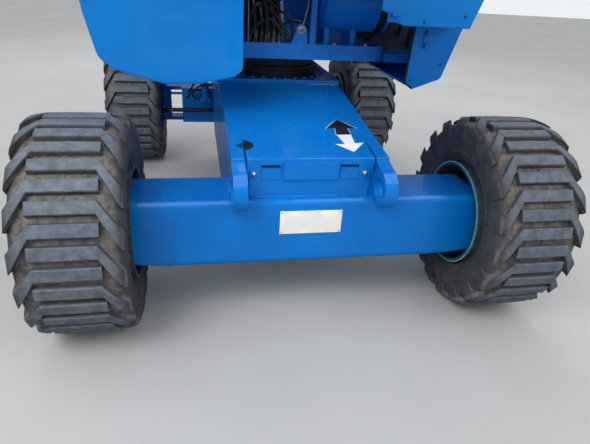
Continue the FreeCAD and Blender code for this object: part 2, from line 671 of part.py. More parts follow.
def chassis():
    """Box frame whose deck slopes up to the slew ring's bearing plate."""
    front = "0 - axle_y - chassis_ahead"
    rear = "axle_y + steer_half"
    side = [(front, "chassis_low"), (front, "deck_high"),
            ("0 - pedestal_ahead", "pedestal_high - bearing_plate"),
            ("pedestal_behind", "pedestal_high - bearing_plate"), (rear, "deck_high"), (rear, "tail_low"),
            ("axle_y - steer_half - 120", "tail_low"), ("belly_end", "chassis_low")]
    solids = [plate("X", side, ("0 - chassis_half", "chassis_half"), [("60", (7,)), ("6", (1,))]),
              box(("0 - pedestal_half", "pedestal_half"), ("0 - pedestal_ahead - 8", "pedestal_behind"),
                  ("pedestal_high - bearing_plate", "pedestal_high"))]
    # tie-down lugs carry on the sides, sloping down to their round
    y, z = "0 - axle_y - beam_half - tie_lug_ahead", "tie_lug_high"
    lug = [("0 - axle_y + 90", "deck_high"), ("0 - axle_y + 90", f"{z} - tie_lug_radius"),
           (y, f"{z} - tie_lug_radius"), (y, f"{z} + tie_lug_radius"), ("0 - axle_y - 15", "deck_high + 12")]
    inside = "chassis_half - tie_lug_thick"
    solids += both(inside, "chassis_half", lambda span: plate("X", lug, span))
    solids += both(inside, "chassis_half", lambda span: rod("X", span, (y, z), "tie_lug_radius"))
    # access panel in front, with its middle tab
    solids.append(box(("0 - 292", "288"), (f"{front} - panel_thick", front), ("beam_high", "deck_high - 62")))
    solids.append(box(("0 - 134", "130"), (f"{front} - 2 * panel_thick", front),
                      ("deck_high - 104", "deck_high - 16")))
    holes = both(f"{inside} - 20", "chassis_half + 20", lambda span: rod(
        "X", span, (y, z), "tie_hole_radius"))
    # slots above the panel, and the gaps between the deck and the lugs
    for x in (("0 - 238", "0 - 149"), ("139", "229")):
        holes.append(box(x, (f"{front} - 20", f"{front} + pocket_depth"),
                         ("deck_high - 46", "deck_high - 32")))
    pocket = ("deck_high - pocket_depth", "deck_high + 60")
    for x in (f"0 - ({inside})", f"{inside} - slit"):
        holes.append(box((x, f"{x} + slit"), (f"{front} - 30", "0 - axle_y + 60"), pocket))
    holes.append(rod("Z", pocket, (f"0 - ({inside}) + slit", "0 - axle_y + 30"), "32"))
    recess = [box(("0 - beam_reach", "beam_reach"), ("0 - axle_y - beam_half", "0 - axle_y + beam_half"),
                  ("beam_low", "beam_high")),
              box(("0 - beam_reach", "beam_reach"), ("axle_y - steer_half", "axle_y + steer_half"),
                  ("beam_low", "beam_high - 20"))]
    return solids, holes + recess


node("chassis_frame", *chassis())
node("slew_ring_lower", [rod("Z", ("pedestal_high", "slew_split"), ("0", "0"), "slew_radius")])
node("slew_ring_upper", [rod("Z", ("slew_split + pin_fit", "base_low"), ("0", "0"), "slew_radius - 20")])


# Turntable

RISER_BASE = ("riser_y - riser_base_y", "riser_z - riser_base_z")
RISER_EYE = ("riser_y - riser_eye_y", "riser_z - riser_eye_z")


def turntable_base():
    plate_points = [("0 - base_half", "0 - base_front"), ("base_half", "0 - base_front"),
                    ("base_half", "base_rear"), ("0 - base_half", "base_rear")]
    solids = [plate("Z", plate_points, ("base_low", "base_high"), [("60", (0, 1))])]
    upright = [("riser_y - 370", "base_high - 2"), ("riser_y + 220", "base_high - 2"),
               ("riser_y + 220", "riser_z + 20"), ("low_link_y + 60", "low_link_z + 55"),
               ("low_link_y - 55", "low_link_z + 55"), ("riser_y - 80", "riser_z + 60"),
               ("riser_y - 290", "riser_z - 280")]
    solids += both("casting_gap", "fork_out", lambda span: plate("X", upright, span))
    solids.append(box(("0 - casting_gap - 2", "casting_gap + 2"), ("riser_y + 190", "riser_y + 220"),
                      ("base_high - 2", "riser_z - 60")))
    solids.append(pin(("riser_y", "riser_z"), "arm_pin_radius", "pin_end"))
    solids.append(pin(("low_link_y", "low_link_z"), "link_pin_radius", "pin_end"))
    y, top = RISER_BASE[0], f"{RISER_BASE[1]} + 45"
    lug = [(f"{y} - 60", "base_high - 2"), (f"{y} + 60", "base_high - 2"), (f"{y} + 40", top), (f"{y} - 40", top)]
    solids += both("58", "78", lambda span: plate("X", lug, span))
    solids.append(pin(RISER_BASE, "lift_pin_radius", "88"))
    # rest post in front, which the lowered riser lies on
    solids.append(box(("134", "168"), ("0 - base_front + 10", "0 - base_front + 50"),
                      ("base_high - 2", "riser_z - lower_riser_tall / 2 - 20")))
    # eye that stands on the front edge
    span = ("0 - base_front + 6", "0 - base_front + 20")
    solids.append(plate("Y", [("24", "base_high - 2"), ("124", "base_high - 2"), ("110", "base_high + 70"),
                              ("54", "base_high + 70")], span))
    solids.append(rod("Y", span, ("82", "base_high + 76"), "30"))
    return solids, [rod("Y", ("0 - base_front", "0 - base_front + 30"), ("82", "base_high + 76"), "13")]


node("turntable_base", *turntable_base())


BEACON_AT = ("0 - weight_half + 330", "base_rear + 170")


def counterweight():
    outline = [("0 - weight_half", "base_rear"), ("weight_half", "base_rear"),
               ("weight_half", "tail_reach - 230"), ("weight_half - 220", "tail_reach"),
               ("0 - weight_half + 220", "tail_reach"), ("0 - weight_half", "tail_reach - 230")]
    under = [("tail_reach + 20", "weight_low - 20"), ("tail_reach + 20", "weight_low + 170"),
             ("tail_reach - 120", "weight_low - 20")]
    over = [("tail_reach + 20", "weight_high + 20"), ("tail_reach + 20", "weight_high - 90"),
            ("tail_reach - 190", "weight_high + 20")]
    return ([plate("Z", outline, ("weight_low", "weight_high"), [("150", (2, 5)), ("150", (3, 4))])],
            [plate("X", points, ("0 - weight_half - 20", "weight_half + 20")) for points in (under, over)])


def tank_body():
    """A tank lying across the machine, its left end domed."""
    body = doc.addObject("PartDesign::Body", "tank")
    profile = [("172", "0"), ("176", "80"), ("190", "140"), ("214", "178"), ("248", "198"),
               ("602", "198"), ("620", "180"), ("624", "0")]
    drawing = sketch(body, "XY_Plane", profile)
    turn = body.newObject("PartDesign::Revolution", "turn")
    turn.Profile = drawing
    turn.ReferenceAxis = (drawing, ["H_Axis"])
    turn.Angle = 360
    place(body, "0", "0 - base_front + 150", "base_high + 262")
    return body


HOSE_BENDS = 6
HOSES = (
    # x, y of the loop's middle, loop radius, hose radius
    ("0 - 212", "0 - 250", "190", 15),
    ("0 - 174", "0 - 235", "215", 17),
    ("0 - 138", "0 - 270", "170", 14),
    ("0 - 102", "0 - 230", "225", 16),
    ("0 - 68", "0 - 265", "180", 15),
    ("0 - 34", "0 - 240", "205", 14),
)


def hoses():
    """Loops of hydraulic hose that stand on the base plate in front of the riser."""
    solids = []
    for x, y, radius, thick in HOSES:
        turns = [180 / HOSE_BENDS * number for number in range(HOSE_BENDS + 1)]
        points = [(f"{y} - {radius} * cos({turn})", f"base_high + {radius} * sin({turn})") for turn in turns]
        for number, (start, end) in enumerate(zip(points, points[1:])):
            solids.append(strut(x, start, end, thick - number % 2 * 0.5))
    # their feet are cut level with the base plate
    return solids, [box(("0 - 260", "0"), ("0 - base_front", "100"), ("base_low", "base_high"))]


node("hoses", *hoses())

node("counterweight", *counterweight())
node("beacon", [rod("Z", ("weight_high", "weight_high + 22"), BEACON_AT, "beacon_radius + 12"),
                rod("Z", ("weight_high", "weight_high + beacon_high - 14"), BEACON_AT, "beacon_radius"),
                rod("Z", ("weight_high", "weight_high + beacon_high"), BEACON_AT, "beacon_radius - 12")])
node("hydraulic_tank",
     [tank_body()] + [box((x, f"{x} + 30"), ("0 - base_front + 60", "0 - base_front + 240"),
                          ("base_high", "base_high + 120")) for x in ("230", "390")])
node("engine_block", [box(("base_half + 10", "870"), ("0 - 150", "850"), ("base_low + 50", "1790")),
                      box(("base_half - 60", "base_half + 20"), ("0 - 100", "800"), ("base_high", "1500"))])
node("fuel_tank", [box(("0 - 760", "0 - 330"), ("0 - 450", "550"), ("base_high", "1660"))])


def hinge(side, x):
    """Barrel hinges along a hood's inner edge: the hood's solids and holes, the frame's solids."""
    z = "hood_high + hinge_radius"
    on_hood, holes, on_frame = [], [], []
    for y in ("0 - hood_front + 150", "(base_rear - hood_front) / 2", "base_rear - 150"):
        low, high = f"{y} - hinge_length / 2", f"{y} + hinge_length / 2"
        on_hood.append(rod("Y", (low, high), (x, z), "hinge_radius"))
        on_frame.append(rod("Y", (f"{low} - 50", f"{high} + 50"), (x, z), "hinge_radius / 2"))
        holes.append(rod("Y", (low, high), (x, z), "hinge_radius / 2 + pin_fit"))
        out = sorted((x, f"({x}) + {side} * 70"), key=size)
        back = sorted((x, f"({x}) - {side} * 30"), key=size)
        on_hood.append(box(out, (low, high), ("hood_high - 1", "hood_high + 5")))
        for start in (f"{low} - 50", f"{high} + pin_fit"):
            end = f"{start} + 50 - pin_fit"
            on_frame.append(rod("Y", (start, end), (x, z), "hinge_radius"))
            on_frame.append(box(back, (start, end), ("hood_high - 4", "hood_high + 5")))
    return on_hood, holes, on_frame


LEFT_HINGE = hinge(-1, "0 - hood_in + hinge_step")
RIGHT_HINGE = hinge(1, "hood_in_right - hinge_step")


LOUVRES = 5


def louvres(foot, top, first):
    """Two rows of pressed ribs on a hood's outer wall, which runs from foot to top in X and Z."""
    solids = []
    for number in range(LOUVRES):
        rise = f"({first} + {number} * louvre_pitch)"
        x = f"{foot[0]} + ({top[0]} - ({foot[0]})) * {rise} / ({top[1]} - ({foot[1]}))"
        for start in ("0 - 250", "330"):
            solids.append(rod("Y", (start, f"{start} + 420"), (x, f"{foot[1]} + {rise}"), "louvre_radius"))
    return solids


def left_hood():
    hi, low, w = "hood_high", "hood_low", "hood_wall"
    outer = [("0 - hood_in", hi), ("0 - hood_in", f"{low} + 75"), ("0 - 330", f"{low} + 40"),
             ("0 - 500", f"{low} + 6"), ("0 - 668", low), ("0 - 895", f"{low} + 61"),
             ("0 - 966", f"{low} + 116"),
             ("0 - 1011", f"{low} + 311"), ("0 - hood_out", f"{low} + 560"), ("0 - hood_out + 70", hi)]
    inner = [("0 - hood_in + 60", f"{hi} - {w}"), ("0 - hood_in + 60", f"{low} - 40"),
             ("0 - 500", f"{low} - 40"), ("0 - 500", f"{low} + 6 + {w}"), ("0 - 668", f"{low} + {w}"),
             ("0 - 891", f"{low} + 61 + {w}"),
             (f"0 - 966 + {w} - 2", f"{low} + 122"), (f"0 - 1011 + {w}", f"{low} + 311"),
             (f"0 - hood_out + {w}", f"{low} + 560"), (f"0 - hood_out + 70 + {w}", f"{hi} - {w}")]
    shell = plate("Y", outer, ("0 - hood_front", "base_rear - hood_gap"),
                  [("40", (1,)), ("80", (5, 6)), ("160", (7, 8)), ("90", (9,))])
    hollow = plate("Y", inner, ("0 - hood_front + hood_wall", "base_rear"),
                   [("68", (5, 6)), ("148", (7, 8)), ("78", (9,))])
    ribs = louvres(outer[7], outer[8], 34)
    return [cut(shell, [hollow])] + ribs + LEFT_HINGE[0], LEFT_HINGE[1]


def right_hood():
    hi, low, w = "hood_high", "hood_low_right", "hood_wall"
    outer = [("hood_in_right", hi), ("hood_in_right", low), ("894", low),
             ("hood_out_right", f"{low} + 240"), ("hood_out_right - 45", hi)]
    inner = [("hood_in_right - 60", f"{hi} - {w}"), ("hood_in_right - 60", f"{low} - 40"),
             (f"894 - {w} * 1.3", f"{low} - 40"), (f"894 - {w}", low),
             (f"hood_out_right - {w}", f"{low} + 240"), (f"hood_out_right - 45 - {w}", f"{hi} - {w}")]
    shell = plate("Y", outer, ("0 - hood_front", "base_rear - hood_gap"), [("120", (3,)), ("90", (4,))])
    hollow = plate("Y", inner, ("0 - hood_front + hood_wall", "base_rear"), [("108", (4,)), ("78", (5,))])
    # chamfered flange on its front, towards the riser
    flange = [("hood_in_right + 40", low), ("hood_in_right + 40", f"{hi} - 100"), ("395", f"{hi} - 180"),
              ("400", f"{low} + 69"), ("440", f"{low} + 54"), ("455", f"{low} + 20"), ("534", low)]
    front = plate("Y", flange, ("0 - hood_front", "0 - hood_front + hood_wall"))
    ribs = louvres(outer[3], outer[4], 54)
    return [cut(shell, [hollow]), front] + ribs + RIGHT_HINGE[0], RIGHT_HINGE[1]


node("cover_left", *left_hood())
node("cover_right", *right_hood())


def skirt_right():
    """Fixed lower bodywork under the right hood, with a floor that carries the engine."""
    top = "hood_low_right - 12"
    outer = [("668", top), ("654", "weight_low - 10"), ("709", "weight_low - 41"),
             ("872", "weight_low + 19"), ("952", top)]
    inner = [("640", f"{top} + 20"), ("640", "weight_low + 4"), ("713", "weight_low - 24"),
             ("858", "weight_low + 30"), ("940", f"{top} + 20")]
    shell = plate("Y", outer, ("0 - 720", "base_rear - 4"), [("35", (3,))])
    hollow = plate("Y", inner, ("0 - 720 + hood_wall", "base_rear"), [("24", (3,))])
    floor = box(("base_half", "880"), ("0 - base_front", "base_rear - 4"), ("base_low", "base_low + 50"))
    return [cut(shell, [hollow]), floor]


node("side_skirt_right", skirt_right())


def ground_controls():
    """Box with the ground operator's controls, seated on the skirt's sloping side."""
    slope = "80 / (hood_low_right - weight_low - 31)"
    low, high = "85", "275"
    outline = [(f"872 + ({low} - 19) * {slope}", f"weight_low + {low}"),
               (f"872 + ({high} - 19) * {slope}", f"weight_low + {high}"),
               (f"872 + ({high} - 19) * {slope} + 30", f"weight_low + {high}"),
               (f"872 + ({high} - 19) * {slope} + 30", f"weight_low + {low}")]
    return [plate("Y", outline, ("430", "770"), [("18", (3,))])]


node("ground_controls", ground_controls())


def hood_frame():
    """Rails that the hoods hinge on, with their posts."""
    solids = []
    for rail in (("0 - hood_in + 24", "0 - hood_in + 50"), ("hood_in_right - 50", "hood_in_right - 24")):
        solids.append(box(rail, ("0 - hood_front + 40", "base_rear - 30"), ("hood_high - 30", "hood_high")))
        for post in ("0 - 140", "base_rear - 56"):
            solids.append(box(rail, (post, f"{post} + 26"), ("base_high", "hood_high - 15")))
    return solids + LEFT_HINGE[2] + RIGHT_HINGE[2]


node("hood_frame", hood_frame())


# Risers, links and the fork castings between them

def riser(start, end, tall, extra=(), holes=()):
    """A riser tube with a hub at each end."""
    solids = [arm(start, end, "riser_wide", tall, "arm_wall", "riser_hub - 15", "riser_hub - 15"),
              pin(start, "riser_hub", "hub_half"), pin(end, "riser_hub", "hub_half")]
    bores = [pin(at, "arm_pin_radius + pin_fit", "casting_gap") for at in (start, end)]
    return solids + list(extra), bores + list(holes)


def link(start, end):
    solids = [arm(start, end, "link_wide", "link_tall", "arm_wall", "link_hub - 10", "link_hub - 10"),
              pin(start, "link_hub", "hub_half"), pin(end, "link_hub", "hub_half")]
    return solids, [pin(at, "link_pin_radius + pin_fit", "casting_gap") for at in (start, end)]


def eye_lugs(at, top, half):
    """A pair of lugs under an arm, open in the middle for a cylinder's eye."""
    points = [(f"{at[0]} - 90", top), (f"{at[0]} - 40", f"{at[1]} - 40"),
              (f"{at[0]} + 40", f"{at[1]} - 40"), (f"{at[0]} + 90", top)]
    return both(half, f"{half} + 18", lambda span: plate("X", points, span))


LOWER = (("riser_y", "riser_z"), ("elbow_y", "riser_z"))
UPPER = (("head_y", "upper_z"), ("upper_y", "upper_z"))
node("lower_riser", *riser(*LOWER, "lower_riser_tall",
                           eye_lugs(RISER_EYE, "riser_z - lower_riser_tall / 2 + 2", "58"),
                           [pin(RISER_EYE, "22", "100")]))
node("lower_link", *link(("low_link_y", "low_link_z"), ("elbow_link_y", "low_link_z")))
node("upper_riser", *riser(*UPPER, "upper_riser_tall"))
node("upper_link", *link(("head_link_y", "upper_link_z"), ("upper_link_y", "upper_link_z")))


def mid_pivot():
    outline = [("elbow_y - 75", "riser_z - 70"), ("elbow_y + 65", "riser_z - 70"),
               ("elbow_link_y + 65", "low_link_z - 30"), ("elbow_link_y + 65", "low_link_z + 40"),
               ("upper_y + 65", "upper_z + 70"), ("upper_link_y + 65", "upper_link_z + 65"),
               ("upper_link_y - 65", "upper_link_z + 65"), ("upper_link_y - 65", "upper_link_z - 55"),
               ("elbow_y - 75", "upper_z - 80")]
    solids = both("casting_gap", "fork_out", lambda span: plate("X", outline, span))
    for at, radius in ((LOWER[1], "arm_pin_radius"), (UPPER[1], "arm_pin_radius"),
                       (("elbow_link_y", "low_link_z"), "link_pin_radius"),
                       (("upper_link_y", "upper_link_z"), "link_pin_radius")):
        solids.append(pin(at, radius, "pin_end"))
    return solids


node("mid_pivot", mid_pivot())

BOOM_BASE = ("boom_y - boom_base_y", "boom_z - boom_base_z")
BOOM_EYE = ("boom_y - boom_eye_y", "boom_z - boom_eye_z")


def upper_pivot():
    outline = [("head_y - 70", "upper_z - 70"), ("head_y + 65", "upper_z - 70"),
               ("boom_y + 30", "upper_z + 190"), ("boom_y + 90", "boom_z - 20"),
               ("boom_y + 75", "boom_z + 85"),
               ("boom_y - 75", "boom_z + 85"), ("boom_y - 130", "boom_z - 150"),
               ("head_link_y - 60", "upper_link_z + 60"), ("head_link_y - 60", "upper_link_z - 40")]
    solids = both("casting_gap", "fork_out", lambda span: plate("X", outline, span))
    for at, radius in ((UPPER[0], "arm_pin_radius"), (("head_link_y", "upper_link_z"), "link_pin_radius"),
                       (("boom_y", "boom_z"), "arm_pin_radius"), (BOOM_BASE, "lift_pin_radius")):
        solids.append(pin(at, radius, "pin_end"))
    return solids


node("upper_pivot", upper_pivot())


# Boom, extending tube and jib

def outer_boom():
    start, end = ("boom_y + boom_tail", "boom_z"), ("boom_nose", "boom_z")
    solids = [arm(start, end, "boom_wide", "boom_tall", "arm_wall"),
              pin(("boom_y", "boom_z"), "boom_hub", "hub_half")]
    # wear pads inside the nose, above, below and beside the extending tube
    pad_y = ("boom_nose", "boom_nose + 120")
    gap = "pin_fit / 2"
    reach = (f"inner_tall / 2 + {gap}", "boom_tall / 2 - arm_wall + 1")
    solids.append(box(("0 - 70", "70"), pad_y, (f"boom_z + {reach[0]}", f"boom_z + {reach[1]}")))
    solids.append(box(("0 - 70", "70"), pad_y, (f"boom_z - ({reach[1]})", f"boom_z - ({reach[0]})")))
    solids += both(f"inner_wide / 2 + {gap}", "boom_wide / 2 - arm_wall + 1", lambda span: box(
        span, pad_y, ("boom_z - 80", "boom_z + 80")))
    solids += eye_lugs(BOOM_EYE, "boom_z - boom_tall / 2 + 2", "52")
    holes = [pin(("boom_y", "boom_z"), "arm_pin_radius + pin_fit", "casting_gap"), pin(BOOM_EYE, "20", "80")]
    return solids, holes


node("primary_boom", *outer_boom())


def hose_tray():
    """Open channel along the boom's right side, which carries the hoses to the platform."""
    x, low = "boom_wide / 2", "boom_z - tray_tall / 2"
    near, far = "boom_nose + 60", "boom_y - tray_start"
    return ([box((x, f"{x} + tray_wide"), (near, far), (low, f"{low} + tray_tall"))],
            [box((f"{x} + tray_wall", f"{x} + tray_wide - tray_wall"), (f"{near} - 10", f"{far} + 10"),
                 (f"{low} + tray_wall", "boom_z + tray_tall"))])


node("hose_tray", *hose_tray())


LEVEL_BASE = ("nose_y + level_base_y", "nose_z + level_base_z")
LEVEL_EYE = ("nose_y + level_eye_y", "nose_z + level_eye_z")


def extension():
    start, end = ("boom_y - inner_tail", "boom_z"), ("inner_front", "boom_z")
    solids = [arm(start, end, "inner_wide", "inner_tall", "arm_wall")]
    fork = [("inner_front + 150", "boom_z + inner_tall / 2 - 10"),
            ("inner_front + 150", "boom_z - inner_tall / 2 + 10"),
            ("nose_y + 20", "nose_z - 60"), ("nose_y - 62", "nose_z - 40"), ("nose_y - 62", "nose_z + 40"),
            ("nose_y + 60", "nose_z + 100")]
    solids += both("nose_in", "nose_in + nose_plate", lambda span: plate("X", fork, span))
    solids += both("inner_wide / 2 - 1", "nose_in + 1", lambda span: box(
        span, ("inner_front + 20", "inner_front + 140"), ("boom_z - 80", "boom_z + 80")))
    solids.append(pin(("nose_y", "nose_z"), "jib_pin_radius", "nose_in + nose_plate + 10"))
    solids.append(pin(LEVEL_BASE, "jib_base_pin", "inner_wide / 2 - 1"))
    return solids


node("boom_extension", extension())


def level_bracket():
    """Hangs on the boom's nose and carries the jib, its links and its cylinder."""
    outline = [("nose_y + 50", "nose_z - 30"), ("nose_y + 50", "nose_z + 30"), ("nose_y - 20", "nose_z + 50"),
               ("jib_y - 45", "jib_link_z + 35"), ("jib_y - 50", "jib_z - 20"), ("jib_y - 30", "jib_z - 205"),
               ("jib_y + 55", "jib_z - 205")]
    solids = both("bracket_in", "bracket_out", lambda span: plate("X", outline, span))
    solids.append(pin(("nose_y", "nose_z"), "40", "nose_in - pin_fit"))
    solids.append(pin(("jib_y", "jib_z"), "jib_pin_radius", "bracket_out + 4"))
    solids += both("bracket_out - 4", "jib_link_in + jib_link_thick + 8", lambda span: rod(
        "X", span, ("jib_y", "jib_link_z"), "16"))
    solids.append(pin(("jib_y + jib_base_y", "jib_z - jib_base_z"), "jib_base_pin", "bracket_out"))
    level_lug = [("nose_y", "nose_z - 36"), ("nose_y + level_eye_y + 24", "nose_z + level_eye_z - 24"),
                 ("nose_y + level_eye_y + 24", "nose_z + level_eye_z + 24"), ("nose_y", "nose_z + 36")]
    solids += both("22", "36", lambda span: plate("X", level_lug, span))
    return solids, [pin(("nose_y", "nose_z"), "jib_pin_radius + pin_fit", "nose_in + 30"),
                    pin(LEVEL_EYE, "14", "40")]


node("level_bracket", *level_bracket())

JIB = (("jib_y", "jib_z"), ("jib_end_y", "jib_end_z"))
JIB_EYE = ("jib_y - jib_eye_along * cos(jib_droop) + jib_eye_under * sin(jib_droop)",
           "jib_z - jib_eye_along * sin(jib_droop) - jib_eye_under * cos(jib_droop)")


def jib():
    raised = [(f"{y} - jib_rise * sin(jib_droop)", f"{z} + jib_rise * cos(jib_droop)") for y, z in JIB]
    solids = [arm(*raised, "jib_wide", "jib_tall", "arm_wall - 3", "jib_hub - 12", "jib_hub - 12")]
    for at in JIB:
        solids.append(pin(at, "jib_hub", "bracket_in - pin_fit"))

    # lugs for the cylinder's eye, on the tube's underside
    def along(shift, under):
        return (f"jib_y - (jib_eye_along + {shift}) * cos(jib_droop) + ({under}) * sin(jib_droop)",
                f"jib_z - (jib_eye_along + {shift}) * sin(jib_droop) - ({under}) * cos(jib_droop)")
    lug = [along("0 - 90", "jib_tall / 2 - jib_rise - 2"), along("90", "jib_tall / 2 - jib_rise - 2"),
           along("32", "jib_eye_under + 34"), along("0 - 32", "jib_eye_under + 34")]
    solids += both("36", "jib_wide / 2", lambda span: plate("X", lug, span))
    holes = [pin(at, "jib_pin_radius + pin_fit", "bracket_in + 20") for at in JIB]
    return solids, holes + [pin(JIB_EYE, "15", "60")]


node("jib_boom", *jib())


def jib_links():
    start, end = ("jib_y", "jib_link_z"), ("jib_end_y", "jib_end_link_z")
    solids = []
    for side in (-1, 1):
        middle = f"{side} * (jib_link_in + jib_link_thick / 2)"
        bar = arm(start, end, "jib_link_thick", "jib_link_tall", "5")
        place(bar, middle, *start)
        solids.append(bar)
        low = f"{middle} - jib_link_thick / 2"
        solids += [rod("X", (low, f"{low} + jib_link_thick"), at, "30") for at in (start, end)]
    holes = [pin(at, "16 + pin_fit", "jib_link_in + jib_link_thick + 10") for at in (start, end)]
    return solids, holes


node("jib_link", *jib_links())


def platform_support():
    """At the jib's end: the plates on its pins and the swivel housing."""
    y, z = "jib_end_y", "jib_end_z"
    outline = [(f"{y} + 45", f"{z} - 30"), (f"{y} + 45", f"{z} + 20"), (f"{y} + 30", "jib_end_link_z + 35"),
               (f"{y} - 40", "jib_end_link_z + 35"), ("swivel_y + rotator_radius - 30", "rotator_high - 30"),
               ("swivel_y + rotator_radius - 30", "rotator_low + 10"), (f"{y} - 20", f"{z} - 55")]
    solids = both("bracket_in", "bracket_out", lambda span: plate("X", outline, span))
    solids.append(rod("Z", ("rotator_low", "rotator_high"), ("0", "swivel_y"), "rotator_radius"))
    solids.append(box(("0 - bracket_in - 2", "bracket_in + 2"),
                      ("swivel_y + rotator_radius - 30", "swivel_y + rotator_radius + 20"),
                      ("rotator_low + 10", "rotator_high - 30")))
    solids.append(pin((y, z), "jib_pin_radius", "bracket_out + 4"))
    solids += both("bracket_out - 4", "jib_link_in + jib_link_thick + 8", lambda span: rod(
        "X", span, (y, "jib_end_link_z"), "16"))
    return solids


node("platform_support", platform_support())


# Cylinders

def cylinder(name, base, eye, tube, rod_radius, half, base_pin):
    """A hydraulic cylinder from its base pin to its eye, shown closed.

    The barrel is a tube with a base eye and a gland; the rod carries a piston and its own eye.
    """
    dy, dz = f"({eye[0]}) - ({base[0]})", f"({eye[1]}) - ({base[1]})"
    whole = f"sqrt(({dy}) ^ 2 + ({dz}) ^ 2)"
    bore = f"{tube} - 9"
    gland = f"{whole} - 75"
    eye_r = f"{rod_radius} + 8"
    barrel = [strut("0", base, eye, tube, base_pin, f"{gland} - {base_pin}"),
              pin(base, f"{base_pin} + 14", half)]
    hollow = [strut("0", base, eye, bore, "60", f"{gland} - 60 - 34"),
              strut("0", base, eye, f"{rod_radius} + pin_fit", "60", gland),
              pin(base, f"{base_pin} + pin_fit", f"{half} + 5")]
    node(name + "_barrel", barrel, hollow)
    shaft = [strut("0", base, eye, rod_radius, "80"), strut("0", base, eye, f"{bore} - pin_fit", "66", "36"),
             pin(eye, eye_r, half)]
    node(name + "_rod", shaft, [pin(eye, f"{rod_radius} - 8", f"{half} + 5")])


CYLINDERS = (
    # name, base, eye, tube radius, rod radius, half width of the eyes, base pin radius
    ("riser_cylinder", RISER_BASE, RISER_EYE, "54", "30", "50", "lift_pin_radius"),
    ("boom_cylinder", BOOM_BASE, BOOM_EYE, "46", "28", "42", "lift_pin_radius"),
    ("jib_cylinder", ("jib_y + jib_base_y", "jib_z - jib_base_z"), JIB_EYE, "30", "18", "30", "jib_base_pin"),
    ("level_cylinder", LEVEL_BASE, LEVEL_EYE, "28", "14", "18", "jib_base_pin"),
)
for row in CYLINDERS:
    cylinder(*row)


# Platform

def platform_floor():
    """Tube frame, deck and the arm that hangs it on the swivel."""
    back, front = "platform_back", "platform_front"
    half, tube = "platform_half", "floor_tube"
    low, top = "floor_low", "floor_high - deck_thick"
    solids = [box((f"0 - {half}", half), (front, f"{front} + {tube}"), (low, top)),
              box((f"0 - {half}", half), (f"{back} - {tube}", back), (low, top))]
    for x in (f"0 - {half}", f"0 - {half} / 3 - {tube} / 2", f"{half} / 3 - {tube} / 2", f"{half} - {tube}"):
        solids.append(box((x, f"{x} + {tube}"), (front, back), (low, top)))
    solids.append(box((f"0 - {half} + {tube}", f"{half} - {tube}"), (f"{front} + {tube}", f"{back} - {tube}"),
                      (f"{top} - 2", "floor_high")))
    # hanger under the swivel
    solids.append(rod("Z", ("rotator_low - pin_fit - 34", "rotator_low - pin_fit"), ("0", "swivel_y"), "100"))
    solids.append(box(("0 - 90", "90"), (f"{back} - 2", "swivel_y"),
                      ("rotator_low - pin_fit - 34", "rotator_low - pin_fit")))
    solids += both("50", "90", lambda span: box(span, (back, f"{back} + 40"), (low, "rotator_low - pin_fit")))
    solids += both("50", "90", lambda span: box(span, (f"{back} - 2", f"{back} + 40"), (low, top)))
    return solids


node("platform_floor", platform_floor())

GATE_LOW = "platform_front + 130"
GATE_HIGH = "platform_front + 130 + gate_wide"
GATE_POST = "platform_front + 130 + gate_wide - rail_radius - gate_clear - gate_radius"


def platform_rails():
    """Posts and rails, with a gap on the left side for the gate."""
    post, rail = "rail_radius", "rail_radius - 0.8"
    half = "platform_half - rail_radius"
    back, front = "platform_back - rail_radius", "platform_front + rail_radius"
    top, mid = "floor_high + rail_high - rail_radius", "floor_high + rail_mid"
    solids = []
    for z in (top, mid):
        solids.append(rod("X", (f"0 - ({half})", half), (back, z), rail))
        solids.append(rod("X", (f"0 - ({half})", half), (front, z), rail))
        solids.append(rod("Y", (front, back), (half, z), rail))
        solids.append(rod("Y", (front, GATE_LOW), (f"0 - ({half})", z), rail))
        solids.append(rod("Y", (GATE_HIGH, back), (f"0 - ({half})", z), rail))
    left = f"0 - ({half})"
    feet = [(x, y) for x in (left, f"{left} / 3", f"({half}) / 3", half) for y in (back, front)]
    feet += [(half, "(platform_back + platform_front) / 2"), (left, GATE_LOW), (left, GATE_HIGH)]
    for x, y in feet:
        solids.append(rod("Z", ("floor_high - deck_thick", "floor_high + rail_high"), (x, y), post))
    # hinge eyes that hold the gate's post
    holes = []
    for z in ("floor_high + 200", "floor_high + 850"):
        span = (z, f"{z} + 40")
        solids.append(rod("Z", span, (f"0 - ({half})", GATE_POST), "gate_radius + 8"))
        solids.append(box((f"0 - ({half}) - 8", f"0 - ({half}) + 8"), (GATE_POST, GATE_HIGH), span))
        holes.append(rod("Z", span, (f"0 - ({half})", GATE_POST), "gate_radius + pin_fit"))
    # kick plates
    low, high = "floor_high - deck_thick", "floor_high + kick_high"
    for y in ("platform_front + 14", "platform_back - 18"):
        solids.append(box((f"0 - ({half})", half), (y, f"{y} + 4"), (low, high)))
    solids.append(box(("platform_half - 18", "platform_half - 14"), (front, back), (low, high)))
    return solids, holes


node("platform_rails", *platform_rails())


def gate():
    r = "gate_radius"
    x = "0 - (platform_half - rail_radius)"
    low_y, high_y = f"{GATE_LOW} + rail_radius + gate_clear + gate_radius", GATE_POST
    low_z, high_z = "floor_high + 60", "floor_high + rail_high - rail_radius"
    solids = [rod("Y", (low_y, high_y), (x, z), f"{r} - 0.8") for z in (low_z, "floor_high + rail_mid", high_z)]
    solids += [rod("Z", (f"{low_z} - {r}", f"{high_z} + {r}"), (x, y), r) for y in (low_y, high_y)]
    return solids


node("platform_gate", gate())
node("platform_controls",
     [box(("0 - 300", "300"), ("platform_back - 260", "platform_back - 2 * rail_radius - 1"),
          ("floor_high + rail_high - 190", "floor_high + rail_high + 20")),
      box(("0 - 300", "300"), ("platform_back - 2 * rail_radius - 2", "platform_back"),
          ("floor_high + rail_high", "floor_high + rail_high + 20"))])


# Check and write

